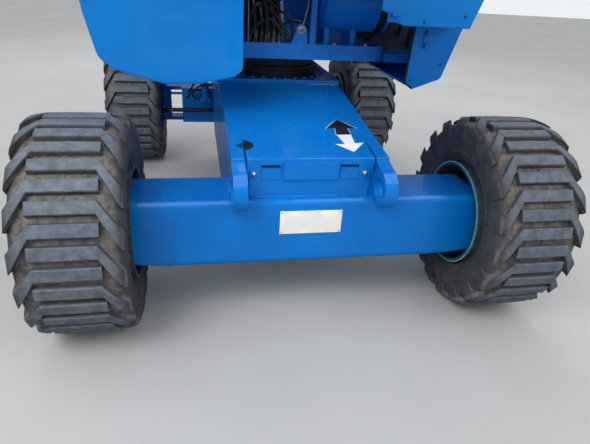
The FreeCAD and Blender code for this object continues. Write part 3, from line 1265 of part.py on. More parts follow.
doc.recompute()
for obj in doc.Objects:
    if "Invalid" in obj.State or "Error" in obj.State:
        raise RuntimeError(f"{obj.Name} {obj.Label} failed: {obj.State}")
os.makedirs("parts", exist_ok=True)
for piece in NODES:
    shape = piece.Shape
    if shape.isNull() or not shape.isValid() or not shape.Solids:
        raise RuntimeError(f"{piece.Label} has no valid solid")
for piece in NODES:
    piece.Shape.exportStep(f"parts/{piece.Label}.step")
print(f"{len(NODES)} sub-parts written")
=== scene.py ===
from math import copysign, cos, degrees, pi, radians, sin

import bmesh
import bpy
from mathutils import Matrix, Vector


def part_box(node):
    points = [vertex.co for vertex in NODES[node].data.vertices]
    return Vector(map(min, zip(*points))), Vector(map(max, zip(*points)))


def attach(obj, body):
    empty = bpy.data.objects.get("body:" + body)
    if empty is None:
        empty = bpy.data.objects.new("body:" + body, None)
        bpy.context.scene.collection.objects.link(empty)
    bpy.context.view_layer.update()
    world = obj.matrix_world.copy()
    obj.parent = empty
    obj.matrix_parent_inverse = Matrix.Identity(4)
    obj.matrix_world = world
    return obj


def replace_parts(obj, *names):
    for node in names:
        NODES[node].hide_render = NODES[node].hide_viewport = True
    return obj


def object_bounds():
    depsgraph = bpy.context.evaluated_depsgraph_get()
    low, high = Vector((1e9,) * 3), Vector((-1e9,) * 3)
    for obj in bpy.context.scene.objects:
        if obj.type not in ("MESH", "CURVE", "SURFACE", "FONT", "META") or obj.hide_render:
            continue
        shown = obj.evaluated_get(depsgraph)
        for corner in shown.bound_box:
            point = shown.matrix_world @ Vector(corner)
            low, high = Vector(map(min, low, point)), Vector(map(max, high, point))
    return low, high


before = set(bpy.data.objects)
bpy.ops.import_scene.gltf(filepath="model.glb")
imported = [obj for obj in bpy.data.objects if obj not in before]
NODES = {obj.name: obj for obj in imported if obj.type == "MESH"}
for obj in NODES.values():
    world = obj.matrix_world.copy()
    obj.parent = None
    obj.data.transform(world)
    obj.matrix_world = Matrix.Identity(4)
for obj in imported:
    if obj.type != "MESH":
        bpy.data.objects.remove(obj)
CAD_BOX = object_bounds()

# Directions; the photo looks at the machine's front, where the drive axle is
RIGHT, LEFT = (1, 0, 0), (-1, 0, 0)
REAR, FRONT = (0, 1, 0), (0, -1, 0)
UP, DOWN = (0, 0, 1), (0, 0, -1)
SIDES, TURN = (-1, 1), 2 * pi


def middle(node):
    low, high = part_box(node)
    return (low + high) / 2


# Heights and sides are as in the machine's frame, and Y counts from the slew axis
SLEW_Y = middle("slew_ring_lower").y
WHEELS = {name: middle("tyre_" + name) for name in ("near_left", "near_right", "far_left", "far_right")}

# Camera

CAMERA_AT = Vector((-0.5222, -3.4339 + SLEW_Y, 1.6215))
YAW, PITCH, ROLL = -0.2143, 0.4682, 0.0653
FOCAL_PIXELS, IMAGE_WIDTH, SENSOR = 492.687, 590, 36.0


def make_camera():
    forward = Vector((-sin(YAW) * cos(PITCH), cos(YAW) * cos(PITCH), -sin(PITCH)))
    right = forward.cross(Vector(UP)).normalized()
    up = right.cross(forward)
    turned_right = cos(ROLL) * right + sin(ROLL) * up
    turned_up = cos(ROLL) * up - sin(ROLL) * right
    turn = Matrix((turned_right, turned_up, -forward)).transposed().to_4x4()
    data = bpy.data.cameras.new("camera")
    data.sensor_width = SENSOR
    data.lens = FOCAL_PIXELS / IMAGE_WIDTH * SENSOR
    camera = bpy.data.objects.new("camera", data)
    camera.matrix_world = Matrix.Translation(CAMERA_AT) @ turn
    bpy.context.scene.collection.objects.link(camera)
    bpy.context.scene.camera = camera


make_camera()


# Materials

FINISH = {}


class Nodes:
    """The node tree of a material or of the world, and how its common nodes are added."""

    def __init__(self, owner, coordinates="Object"):
        owner.use_nodes = True
        self.tree = owner.node_tree
        self.place = self.add("ShaderNodeTexCoord").outputs[coordinates]

    def add(self, kind, inputs=None, **settings):
        made = self.tree.nodes.new(kind)
        for key, value in settings.items():
            setattr(made, key, value)
        for key, value in (inputs or {}).items():
            if isinstance(value, bpy.types.NodeSocket):
                self.tree.links.new(value, made.inputs[key])
            else:
                made.inputs[key].default_value = (*value, 1.0) if isinstance(value, tuple) else value
        return made

    def noise(self, scale, detail=4.0, rough=0.55):
        return self.add("ShaderNodeTexNoise", {
            "Vector": self.place, "Scale": scale, "Detail": detail, "Roughness": rough}).outputs["Fac"]

    def ramp(self, value, low, high, start=0.0, end=1.0):
        return self.add("ShaderNodeMapRange", {
            "Value": value, "From Min": low, "From Max": high, "To Min": start, "To Max": end}).outputs[0]

    def math(self, operation, one, two=0.0):
        return self.add("ShaderNodeMath", {0: one, 1: two}, operation=operation).outputs[0]

    def times(self, one, two):
        return self.math("MULTIPLY", one, two)

    def mix(self, share, one, two):
        """One colour where the share is 0 and the other where it is 1."""
        return self.add("ShaderNodeMix", {0: share, 6: one, 7: two}, data_type="RGBA").outputs[2]

    def along(self, axis, vector=None):
        return self.add("ShaderNodeSeparateXYZ", {"Vector": vector or self.place}).outputs[axis]

    def facing_up(self):
        return self.along("Z", self.add("ShaderNodeNewGeometry").outputs["Normal"])

    def glossy(self):
        """1 where a reflection looks."""
        return self.add("ShaderNodeLightPath").outputs["Is Glossy Ray"]

    def from_axle(self, wheel):
        dy = self.math("SUBTRACT", self.along("Y"), wheel.y)
        dz = self.math("SUBTRACT", self.along("Z"), wheel.z)
        return self.math("SQRT", self.math("ADD", self.times(dy, dy), self.times(dz, dz)))


class Shade(Nodes):
    """A material being put together around one Principled shader, and kept in FINISH by its name."""

    def __init__(self, name, **sockets):
        FINISH[name] = self.material = bpy.data.materials.new(name)
        super().__init__(self.material)
        self.shader = self.tree.nodes["Principled BSDF"]
        for socket, value in sockets.items():
            self.shader.inputs[socket.replace("_", " ")].default_value = value

    def link(self, socket, value):
        self.tree.links.new(value, self.shader.inputs[socket])

    def bump(self, value, depth, edge=0.0):
        """Bump, over edges that look rounded by a bevel of this radius."""
        settings = {"Height": value, "Distance": depth, "Strength": 1.0}
        if edge:
            settings["Normal"] = self.add("ShaderNodeBevel", {"Radius": edge}, samples=4).outputs[0]
        self.link("Normal", self.add("ShaderNodeBump", settings).outputs[0])


def scaled(tone, factor, more=0.0):
    return tuple(min(1.0, value * factor + more) for value in tone)


RIM_EDGE = middle("rim_near_right").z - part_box("rim_near_right")[0].z
RIM_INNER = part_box("rim_near_right")[0].x
DUST, GRIME = (0.36, 0.34, 0.31), (0.05, 0.045, 0.04)


def paint(name, base, deep, rough=0.25, dust=0.05, edge=0.004, coat=0.22, shine=0.2):
    """Sprayed machine paint: slight orange peel, dust on what faces up, dirt lower down."""
    s = Shade(name, Coat_Weight=coat, Coat_Roughness=0.05, Specular_IOR_Level=shine)
    tone = s.mix(s.ramp(s.noise(3.0, 3.0), 0.3, 0.7), deep, base)
    specks = s.ramp(s.noise(55.0, 8.0, 0.7), 0.52, 0.75)
    settled = s.times(s.times(specks, s.ramp(s.facing_up(), 0.4, 0.95)), dust * 2.0)
    low = s.ramp(s.along("Z"), 0.55, 0.3, 0.0, 0.25)
    stains = s.times(low, s.ramp(s.noise(14.0, 6.0, 0.65), 0.45, 0.7))
    s.link("Base Color", s.mix(stains, s.mix(settled, tone, DUST), GRIME))
    s.link("Roughness", s.ramp(s.noise(30.0, 5.0), 0.3, 0.8, rough * 0.8, rough * 1.35))
    s.bump(s.noise(260.0, 2.0), 0.00025, edge)


def rim_paint(name, base, deep):
    """Turquoise wheel paint; the barrels and the left wheels' inner edges are darkened with painted shade,
    broken up by noise.
    """
    s = Shade(name, Specular_IOR_Level=0.35)
    tone = s.mix(s.ramp(s.noise(5.0, 4.0), 0.3, 0.7), deep, base)
    side = s.along("X")
    out = s.math("ABSOLUTE", side)
    radius = s.math("MINIMUM", s.from_axle(WHEELS["near_left"]), s.from_axle(WHEELS["far_left"]))
    inside = s.ramp(radius, RIM_EDGE - 0.005, RIM_EDGE - 0.008)
    beyond = s.ramp(out, RIM_INNER + 0.004, RIM_INNER + 0.007)
    # painted shade inside the barrels and on the rim away from its inner lip, inward of the tyre
    barrel_painted_shade = s.times(s.math("MAXIMUM", inside, beyond), s.ramp(out, 1.03, 1.0))
    # painted shade on the left wheels' inner edges
    left = s.times(s.ramp(side, -0.79, -0.8), s.ramp(side, -1.03, -1.0))
    patchy = s.ramp(s.noise(26.0, 6.0, 0.7), 0.3, 0.5, 0.8, 1.0)
    painted_rim_shade = s.times(s.math("MAXIMUM", barrel_painted_shade, left), patchy)
    tone = s.mix(s.ramp(out, 1.0, 0.95), tone, (0.06, 0.38, 0.48))
    # the painted shade's colours: near black, and dark grey away from the inner lip
    tone = s.mix(painted_rim_shade, tone, s.mix(beyond, (0.02, 0.035, 0.045), (0.05, 0.05, 0.056)))
    specks = s.ramp(s.noise(55.0, 8.0, 0.7), 0.5, 0.75, 0.0, 0.35)
    s.link("Base Color", s.mix(specks, tone, DUST))
    s.link("Roughness", s.ramp(s.noise(30.0, 5.0), 0.3, 0.8, 0.32, 0.6))
    s.bump(s.noise(200.0, 4.0), 0.0004, 0.004)


def metal(name, base, rough=0.35, metallic=1.0, grain=120.0, edge=0.002, spots=0.4):
    s = Shade(name, Metallic=metallic)
    streaks = s.noise(grain, 4.0)
    s.link("Base Color", s.mix(s.ramp(s.noise(18.0, 6.0, 0.7), 0.45, 0.75), base, scaled(base, 1 - spots)))
    s.link("Roughness", s.ramp(streaks, 0.3, 0.7, rough * 0.75, rough * 1.4))
    s.bump(streaks, 0.0003, edge)


def plastic(name, base, rough=0.5, grain=420.0, depth=0.0004):
    s = Shade(name)
    s.link("Base Color", s.mix(s.ramp(s.noise(9.0, 5.0), 0.45, 0.8), base, scaled(base, 1.6, 0.01)))
    s.link("Roughness", s.ramp(s.noise(40.0), 0.3, 0.7, rough * 0.85, rough * 1.2))
    s.bump(s.noise(grain, 3.0), depth, 0.003)


def lens(name, base):
    """Moulded lamp lens: clear through, ribbed by fine waves, slightly yellowed."""
    s = Shade(name, Transmission_Weight=0.25, Coat_Weight=0.5)
    s.link("Base Color", s.mix(s.ramp(s.noise(20.0), 0.35, 0.7), base, scaled(base, 0.6)))
    s.link("Roughness", s.ramp(s.noise(60.0), 0.3, 0.7, 0.12, 0.24))
    s.bump(s.noise(160.0, 2.0), 0.0003, 0.002)


def rubber(name, wheel):
    """Tread rubber: dusty grooves, lighter bluish tops that are partly wear from the ground and partly
    painted sheen, scuffed shoulders.
    """
    s = Shade(name)
    radius = s.from_axle(wheel)
    body = s.mix(s.ramp(s.noise(16.0, 6.0, 0.6), 0.35, 0.7), (0.038, 0.038, 0.041), (0.07, 0.069, 0.071))
    # the tops' lighter bluish colour: wear, with a painted sheen
    top_wear_and_sheen = s.mix(s.ramp(s.noise(22.0, 8.0, 0.7), 0.4, 0.65), (0.066, 0.082, 0.108), (0.125, 0.146, 0.178))
    tone = s.mix(s.ramp(radius, 0.494, 0.505), body, top_wear_and_sheen)
    groove = s.times(s.ramp(radius, 0.492, 0.478), s.ramp(radius, 0.462, 0.472))
    dust = s.times(groove, s.ramp(s.noise(35.0, 8.0, 0.7), 0.38, 0.62))
    tone = s.mix(s.times(dust, 0.75), tone, (0.2, 0.175, 0.15))
    scuff = s.times(s.ramp(s.noise(70.0, 9.0, 0.8), 0.57, 0.68), s.ramp(radius, 0.44, 0.5))
    s.link("Base Color", s.mix(s.times(scuff, 0.45), tone, (0.26, 0.25, 0.24)))
    s.link("Roughness", s.ramp(s.noise(26.0, 6.0), 0.3, 0.7, 0.5, 0.78))
    s.bump(s.noise(340.0, 6.0), 0.0006, 0.003)


BLUE, DEEP_BLUE = (0.0004, 0.165, 0.56), (0.0003, 0.14, 0.49)
paint("body_blue", BLUE, DEEP_BLUE, edge=0.007, coat=0.45)
paint("boom_blue", BLUE, DEEP_BLUE, rough=0.28)
paint("hood_blue", (0.0008, 0.2, 0.6), (0.0006, 0.18, 0.55),
      rough=0.12, dust=0.02, edge=0.016, coat=0.8, shine=0.3)
paint("tank_blue", BLUE, DEEP_BLUE, rough=0.22)
rim_paint("rim_blue", (0.01, 0.25, 0.42), (0.01, 0.19, 0.34))
metal("dark_steel", (0.05, 0.05, 0.055), 0.42, 0.7)
paint("cylinder_black", (0.012, 0.012, 0.013), (0.008, 0.008, 0.009), rough=0.3)
metal("rod_chrome", (0.78, 0.79, 0.8), 0.08, 1.0, 900.0, 0.001, 0.08)
metal("engine_grey", (0.14, 0.14, 0.14), 0.6, 0.4, 60.0)
paint("rail_grey", (0.42, 0.44, 0.45), (0.36, 0.38, 0.39), rough=0.35, dust=0.1)
plastic("control_black", (0.02, 0.02, 0.021))
lens("lamp_amber", (0.9, 0.27, 0.01))
plastic("hose_black", (0.012, 0.012, 0.013), 0.42, 700.0, 0.0003)
metal("bolt_silver", (0.62, 0.62, 0.6), 0.3)
plastic("plate_white", (0.74, 0.74, 0.71), 0.4, 300.0, 0.0001)
plastic("sign_black", (0.006, 0.006, 0.007), 0.35, 300.0, 0.0001)
plastic("sign_white", (0.78, 0.79, 0.79), 0.35, 300.0, 0.0001)
plastic("seal_rubber", (0.01, 0.01, 0.01), 0.7)
metal("fitting_zinc", (0.2, 0.19, 0.165), 0.38, 1.0, 200.0, 0.001)
plastic("stop_red", (0.55, 0.012, 0.008), 0.25, 500.0, 0.0001)
plastic("display_dark", (0.01, 0.014, 0.016), 0.08, 200.0, 0.00002)
for end in ("near", "far"):
    rubber("tyre_rubber_" + end, WHEELS[end + "_left"])

for name, node in NODES.items():
    finish = node.material_slots[0].material.name.split(".")[0]
    if finish == "tyre_rubber":
        finish += "_near" if "near" in name else "_far"
    node.data.materials.clear()
    node.data.materials.append(FINISH[finish])


# Mesh tools

class Draft:
    """The open mesh: the tools below add to it, and piece() closes it and opens the next."""
    bm = bmesh.new()


def piece(name, finish, body, bevel=0.0, smooth=32.0):
    """One object in the part's frame from all that was drawn since the last one, riding on a body."""
    bmesh.ops.recalc_face_normals(Draft.bm, faces=Draft.bm.faces)
    mesh = bpy.data.meshes.new(name)
    Draft.bm.to_mesh(mesh)
    Draft.bm.free()
    Draft.bm = bmesh.new()
    mesh.materials.append(FINISH[finish])
    obj = bpy.data.objects.new(name, mesh)
    bpy.context.scene.collection.objects.link(obj)
    if bevel:
        edge = obj.modifiers.new("edge", "BEVEL")
        edge.width = bevel
        edge.segments = 2
        edge.limit_method = "ANGLE"
        edge.angle_limit = radians(30)
    mesh.shade_smooth()
    mesh.set_sharp_from_angle(angle=radians(smooth))
    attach(obj, body)
    return obj


def at(x, y, z):
    """A place given in millimetres about the slew axis."""
    return Vector((x / 1000, y / 1000 + SLEW_Y, z / 1000))


def strip(rings, closed_path=False, foot=True):
    """Faces between closed rings that have the same count of points, and caps on the ends that are open."""
    made = [[Draft.bm.verts.new(p) for p in ring] for ring in rings]
    faces = Draft.bm.faces
    for one, two in zip(made, made[1:] + (made[:1] if closed_path else [])):
        for k in range(len(one)):
            j = (k + 1) % len(one)
            faces.new((one[k], one[j], two[j], two[k]))
    if not closed_path:
        if foot:
            faces.new(made[0])
        faces.new(made[-1])


def prism(outline, axis, low, high):
    """A plate in millimetres: outline on the other two axes, from low to high along the axis."""
    rings = []
    for level in (low, high):
        ring = []
        for u, v in outline:
            spot = [u, v]
            spot.insert("XYZ".index(axis), level)
            ring.append(at(*spot))
        rings.append(ring)
    strip(rings)


def block(x, y, z):
    prism([(x[0], y[0]), (x[1], y[0]), (x[1], y[1]), (x[0], y[1])], "Z", *z)


def frames(points):
    """Two cross directions at every point of a path, carried along without twist."""
    count = len(points)
    side = None
    out = []
    for k in range(count):
        ahead = (points[min(k + 1, count - 1)] - points[max(k - 1, 0)]).normalized()
        if side is None:
            side = ahead.orthogonal().normalized()
        side = (side - ahead * side.dot(ahead)).normalized()
        out.append((side, ahead.cross(side)))
    return out


def tube(points, radius, sides=12):
    """A round tube along points; radius is a number or one for each point."""
    rings = []
    for k, (spot, (one, two)) in enumerate(zip(points, frames(points))):
        r = radius[k] if isinstance(radius, (list, tuple)) else radius
        rings.append([spot + one * r * cos(TURN * i / sides) + two * r * sin(TURN * i / sides)
                      for i in range(sides)])
    strip(rings)


def turned(spot, direction, profile, sides=24):
    """A turned solid: profile rows are (distance along the direction, radius), in millimetres."""
    ahead = Vector(direction).normalized()
    one = ahead.orthogonal().normalized()
    two = ahead.cross(one)
    rings = [[spot + (ahead * along + (one * cos(TURN * i / sides)
                                       + two * sin(TURN * i / sides)) * radius) / 1000
              for i in range(sides)] for along, radius in profile]
    strip(rings)


def curve_points(corners, steps=10):
    """A smooth path through the corners."""
    ends = [corners[0] * 2 - corners[1]] + list(corners) + [corners[-1] * 2 - corners[-2]]
    out = []
    for a, b, c, d in zip(ends, ends[1:], ends[2:], ends[3:]):
        for k in range(steps):
            t = k / steps
            out.append(0.5 * (2 * b + (c - a) * t + (2 * a - 5 * b + 4 * c - d) * t * t
                              + (3 * b - a - 3 * c + d) * t * t * t))
    out.append(corners[-1].copy())
    return out


def weld(start, end, radius=3.2, ripple=5.0):
    """A weld bead: a low tube whose radius ripples along its run."""
    a, b = at(*start), at(*end)
    count = max(6, int((b - a).length * 1000 / ripple * 2))
    points = [a.lerp(b, k / count) for k in range(count + 1)]
    radii = [radius / 1000 * (1.12 if k % 2 else 0.9) for k in range(count + 1)]
    tube(points, radii, 8)


# Tyres

LUGS = 36
BAR_TURN, LEG_TURN, LEG_GROWTH = 6.2, 13.5, 3.8
BAR_END, LEG_END = 0.122, 0.211
# Half of the carcass from the middle of the tread to the bead: x and radius
CARCASS = ((0.0, 0.4845), (0.004, 0.4845), (0.0055, 0.4815), (0.06, 0.4815), (0.11, 0.4805), (0.145, 0.478),
           (0.17, 0.474), (0.190, 0.466), (0.204, 0.453), (0.212, 0.436), (0.2165, 0.414), (0.2185, 0.396),
           (0.2165, 0.394), (0.2160, 0.376), (0.2135, 0.358), (0.209, 0.342), (0.2105, 0.338),
           (0.2085, 0.326), (0.2015, 0.312), (0.1935, 0.299), (0.187, 0.286), (0.178, 0.2745))
# Along a lug, from its free end to its foot on the side wall: x, radius of its top, radius of its foot
LUG_PATH = ((-0.131, 0.5078, 0.478), (-0.04, 0.5097, 0.480), (0.04, 0.5097, 0.480), (0.122, 0.5086, 0.479),
            (0.146, 0.5072, 0.476), (0.170, 0.5045, 0.471), (0.192, 0.4995, 0.460), (0.208, 0.4910, 0.446),
            (0.2160, 0.4700, 0.431), (0.2190, 0.4430, 0.416), (0.2198, 0.4130, 0.403))
CHAMFER = 0.0035


def wheel_point(centre, side, x, radius, turn):
    turn = radians(turn)
    return centre + Vector((side * x, radius * sin(turn), radius * cos(turn)))


def lug(centre, side, hand, start):
    rings = []
    for x, top, foot in LUG_PATH:
        leg = min(max((x - BAR_END) / (LEG_END - BAR_END), 0.0), 1.0)
        back = start - (LEG_TURN + LEG_GROWTH) * leg
        front = start + BAR_TURN - LEG_TURN * leg
        chamfer = degrees(CHAMFER / top)
        flare = 0.55
        inward = 0.003 if x > LEG_END else 0.0
        ring = [(foot, back - flare, inward), (top - CHAMFER, back, 0.0), (top, back + chamfer, 0.0),
                (top, front - chamfer, 0.0), (top - CHAMFER, front, 0.0), (foot, front + flare, inward)]
        rings.append([wheel_point(centre, side, hand * (x - less), radius, turn)
                      for radius, turn, less in ring])
    strip(rings)


def tyre(name, centre):
    side = copysign(1, centre.x)
    profile = [(-x, r) for x, r in reversed(CARCASS[1:])] + list(CARCASS)
    rings = [[wheel_point(centre, side, x, r, 360 * k / 144) for x, r in profile] for k in range(144)]
    strip(rings, closed_path=True)
    for k in range(LUGS):
        lug(centre, side, -1 if k % 2 == 0 else 1, 360 / LUGS * k)
    made = piece("tread_" + name, "tyre_rubber_" + name.split("_")[0], "wheel_" + name, smooth=24.0)
    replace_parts(made, "tyre_" + name)


def wheel_hardware(name, centre):
    """Wheel nuts, the hub's cover bolts, the valve and the weld between rim and disc."""
    side = copysign(1, centre.x)
    out = Vector((side, 0, 0))
    for k in range(10):
        turn = 36 * k
        spot = wheel_point(centre, side, 0.042, 0.178, turn)
        turned(spot, out, [(-1, 15), (3, 16), (4, 13.5), (17, 13.5), (19, 11.5)], 6)
        turned(spot, out, [(16, 7), (26, 7), (28, 5.5)], 10)
    for k in range(8):
        spot = wheel_point(centre, side, 0.162, 0.076, 45 * k + 20)
        turned(spot, out, [(-2, 8), (5, 8), (6.5, 6)], 6)
    turned(wheel_point(centre, side, 0.162, 0.0, 0), out,
           [(-2, 22), (4, 22), (7, 18), (7.5, 9), (3, 8), (3, 0.5)], 20)
    piece("wheel_nuts_" + name, "bolt_silver", "wheel_" + name)
    rings = []
    for k in range(120):
        turn = 360 * k / 120
        r = 0.0045 if k % 2 else 0.0036
        rings.append([wheel_point(centre, side, 0.043 + r * cos(a), 0.2585 + r * sin(a), turn)
                      for a in (0.0, 1.05, 2.09, 3.14, 4.19, 5.24)])
    strip(rings, closed_path=True)
    turned(wheel_point(centre, side, 0.05, 0.240, 100), out,
           [(-10, 5), (12, 5), (13, 7), (30, 7), (32, 5)], 12)
    piece("wheel_weld_" + name, "rim_blue", "wheel_" + name)


for build in (tyre, wheel_hardware):
    for corner, spot in WHEELS.items():
        build(corner, spot)


# Chassis front

CHASSIS_FRONT = -1330.0
BEAM_FRONT, BEAM_TOP = -1384.0, 672.0
# The deck rises from the front panel to the bearing plate: y and z of its two ends
DECK_LOW, DECK_HIGH = (-1330.0, 860.0), (-320.0, 996.0)
# The double arrow on the deck: black half away from the machine's end, white half towards it
ARROW_BLACK = ((227, -883), (305, -997), (256, -994), (255, -1074), (178, -1074), (190, -994), (142, -997))
ARROW_WHITE = ((217, -1268), (143, -1181), (194, -1184), (178, -1075), (255, -1075), (248, -1175),
               (296, -1166))


def on_deck(x, y, lift):
    share = (y - DECK_LOW[0]) / (DECK_HIGH[0] - DECK_LOW[0])
    return at(x, y, DECK_LOW[1] + (DECK_HIGH[1] - DECK_LOW[1]) * share + lift)


def decal(name, outline, finish, lift, thick):
    strip([[on_deck(x, y, lift + up) for x, y in outline] for up in (0.0, thick)])
    piece(name, finish, "chassis")


def chassis_trim():
    for x in (-270, 260):
        turned(at(x, CHASSIS_FRONT - 5, 785), FRONT,
               [(0, 15), (2, 15), (3, 12.5), (8, 12), (12, 9.5), (14, 5.5), (14.5, 1)], 20)
    piece("panel_bolts", "bolt_silver", "chassis")
    weld((-285, CHASSIS_FRONT - 8, BEAM_TOP + 2), (282, CHASSIS_FRONT - 8, BEAM_TOP + 2), 6.5, 9.0)
    for side in SIDES:
        weld((side * 310, CHASSIS_FRONT - 12, BEAM_TOP + 1), (side * 310, BEAM_FRONT + 4, BEAM_TOP + 1), 5.0)
        weld((side * 378, CHASSIS_FRONT + 60, BEAM_TOP + 1), (side * 378, -1080, BEAM_TOP + 1), 5.0)
        weld((side * 310, CHASSIS_FRONT - 3, 690), (side * 310, CHASSIS_FRONT - 3, 790), 4.5)
        weld((side * 386, DECK_HIGH[0] + 5, 997), (side * 386, 395, 997), 5.0)
    weld((-380, DECK_HIGH[0] - 10, 996), (380, DECK_HIGH[0] - 10, 996), 5.5)
    piece("chassis_welds", "body_blue", "chassis")
    for low, high in ((-238, -149), (139, 229)):
        prism([(low, 757), (high, 757), (high, 811), (low, 811)], "Y", CHASSIS_FRONT - 8, CHASSIS_FRONT - 5)
        middle_x = (low + high) / 2
        for z in (772, 793):
            turned(at(middle_x, CHASSIS_FRONT - 7.5, z), FRONT, [(0, 5), (1.2, 4.5), (1.5, 2)], 12)
    piece("panel_flaps", "body_blue", "chassis", 0.0012)
    prism([(-150, 500), (153, 500), (153, 620), (-150, 620)], "Y", BEAM_FRONT - 4.5, BEAM_FRONT - 1.5)
    piece("blank_plate", "plate_white", "chassis", 0.0008)
    for x in (-141, 144):
        for z in (509, 611):
            turned(at(x, BEAM_FRONT - 4.3, z), FRONT, [(0, 4), (1.6, 3.4), (2.4, 1.6)], 12)
    piece("plate_rivets", "bolt_silver", "chassis")
    # the pocket beside the left lug is open far down; a black sheet on the deck over its opening is painted
    # shade for its dark inside
    pocket_shade_outline = [(-308 + 48 * sin(pi * k / 16), -1190 + 52 * cos(pi * k / 16)) for k in range(17)]
    decal("pocket_painted_shade", pocket_shade_outline, "sign_black", 0.1, 0.3)
    border = [(x + (x - 222) * 0.07, y + (y + 1000) * 0.03) for x, y in ARROW_BLACK]
    decal("arrow_border", border, "sign_white", 0.2, 0.5)
    decal("arrow_far_half", ARROW_BLACK, "sign_black", 0.3, 0.9)
    decal("arrow_near_half", ARROW_WHITE, "sign_white", 0.3, 0.9)


# Small parts

def bolt(spot, out, size):
    """A hex head on its washer; size is the head's half width."""
    turned(spot, out, [(-0.5, size * 1.35), (size * 0.2, size * 1.35), (size * 0.25, size * 0.9)], 16)
    turned(spot, out, [(size * 0.2, size), (size * 0.85, size), (size, size * 0.8)], 6)


def around(x, y, z, radius, count, start=0.0):
    """Places in a circle about an upright axis, in millimetres."""
    turns = [start + TURN * k / count for k in range(count)]
    return [(x + radius * cos(a), y + radius * sin(a), z) for a in turns]


def bolts(name, spots, out, size, body, finish="bolt_silver"):
    for spot in spots:
        bolt(at(*spot), out, size)
    piece(name, finish, body)


def slab(spot, out, along, wide, tall, thick, sink=0.5):
    """A flat box seated on a face: wide along a direction, tall across it, thick outwards."""
    out, along = Vector(out).normalized(), Vector(along).normalized()
    across = out.cross(along)
    corners = [along * (wide / 2 * i) + across * (tall / 2 * j)
               for i, j in ((-1, -1), (1, -1), (1, 1), (-1, 1))]
    strip([[spot + (corner + out * level) / 1000 for corner in corners] for level in (-sink, thick)])


def ring(spot, axis, radius, thick, sides=24, cross=8):
    """A round ring about an axis; radius to the middle of its section."""
    axis = Vector(axis).normalized()
    one = axis.orthogonal().normalized()
    two = axis.cross(one)
    rings = []
    for k in range(sides):
        out = one * cos(TURN * k / sides) + two * sin(TURN * k / sides)
        rings.append([spot + (out * (radius + thick * cos(TURN * i / cross))
                              + axis * thick * sin(TURN * i / cross)) / 1000 for i in range(cross)])
    strip(rings, closed_path=True)


def hoses(name, rows, body):
    """Hoses with a crimped ferrule and a nut at each end; rows are (radius, corners in millimetres)."""
    paths = [(radius, curve_points([at(*corner) for corner in corners])) for radius, corners in rows]
    for radius, path in paths:
        tube(path, radius / 1000)
    made = piece(name, "hose_black", body)
    for radius, path in paths:
        for end, following in ((path[0], path[1]), (path[-1], path[-2])):
            turned(end, following - end, [(radius * 0.9, radius * 1.2), (radius * 3.4, radius * 1.2),
                                          (radius * 3.6, radius * 1.02)], 16)
            turned(end, following - end, [(-radius * 0.3, radius * 1.3), (radius, radius * 1.3)], 6)
    piece(name + "_fittings", "fitting_zinc", body)
    return made


# Turntable's front

BASE_TOP, BASE_FRONT = 1256.0, -500.0
# x, y of the loop's middle, loop radius, hose radius, sideways sway
HOSE_LOOPS = ((-212, -250, 190, 15, 5), (-174, -235, 215, 17, -4), (-138, -270, 170, 14, 4),
              (-102, -230, 225, 16, -5), (-68, -265, 180, 15, 4), (-34, -240, 205, 14, -3))
# radius and corners of the loose hoses that cross in front of the loops
LOOSE_HOSES = (
    (10, ((-236, -470, 1258), (-232, -480, 1340), (-196, -474, 1420), (-150, -462, 1452), (-60, -455, 1398),
          (-10, -470, 1320), (12, -462, 1258))),
    (9, ((-20, -474, 1258), (-42, -486, 1330), (-96, -480, 1378), (-170, -476, 1350), (-205, -468, 1300),
         (-214, -462, 1258))),
    (11, ((-120, -478, 1258), (-118, -486, 1380), (-140, -470, 1500), (-176, -420, 1556), (-200, -300, 1560),
          (-214, -120, 1500), (-216, -60, 1258))),
    (8, ((30, -455, 1258), (34, -470, 1330), (16, -462, 1392), (-50, -420, 1430), (-128, -300, 1492),
         (-196, -120, 1470), (-196, -40, 1258))),
    (9, ((150, -430, 1258), (152, -436, 1300), (120, -430, 1352), (40, -420, 1370), (-24, -400, 1330),
         (-40, -390, 1258))),
)
TANK = (-350.0, 1518.0, 198.0)


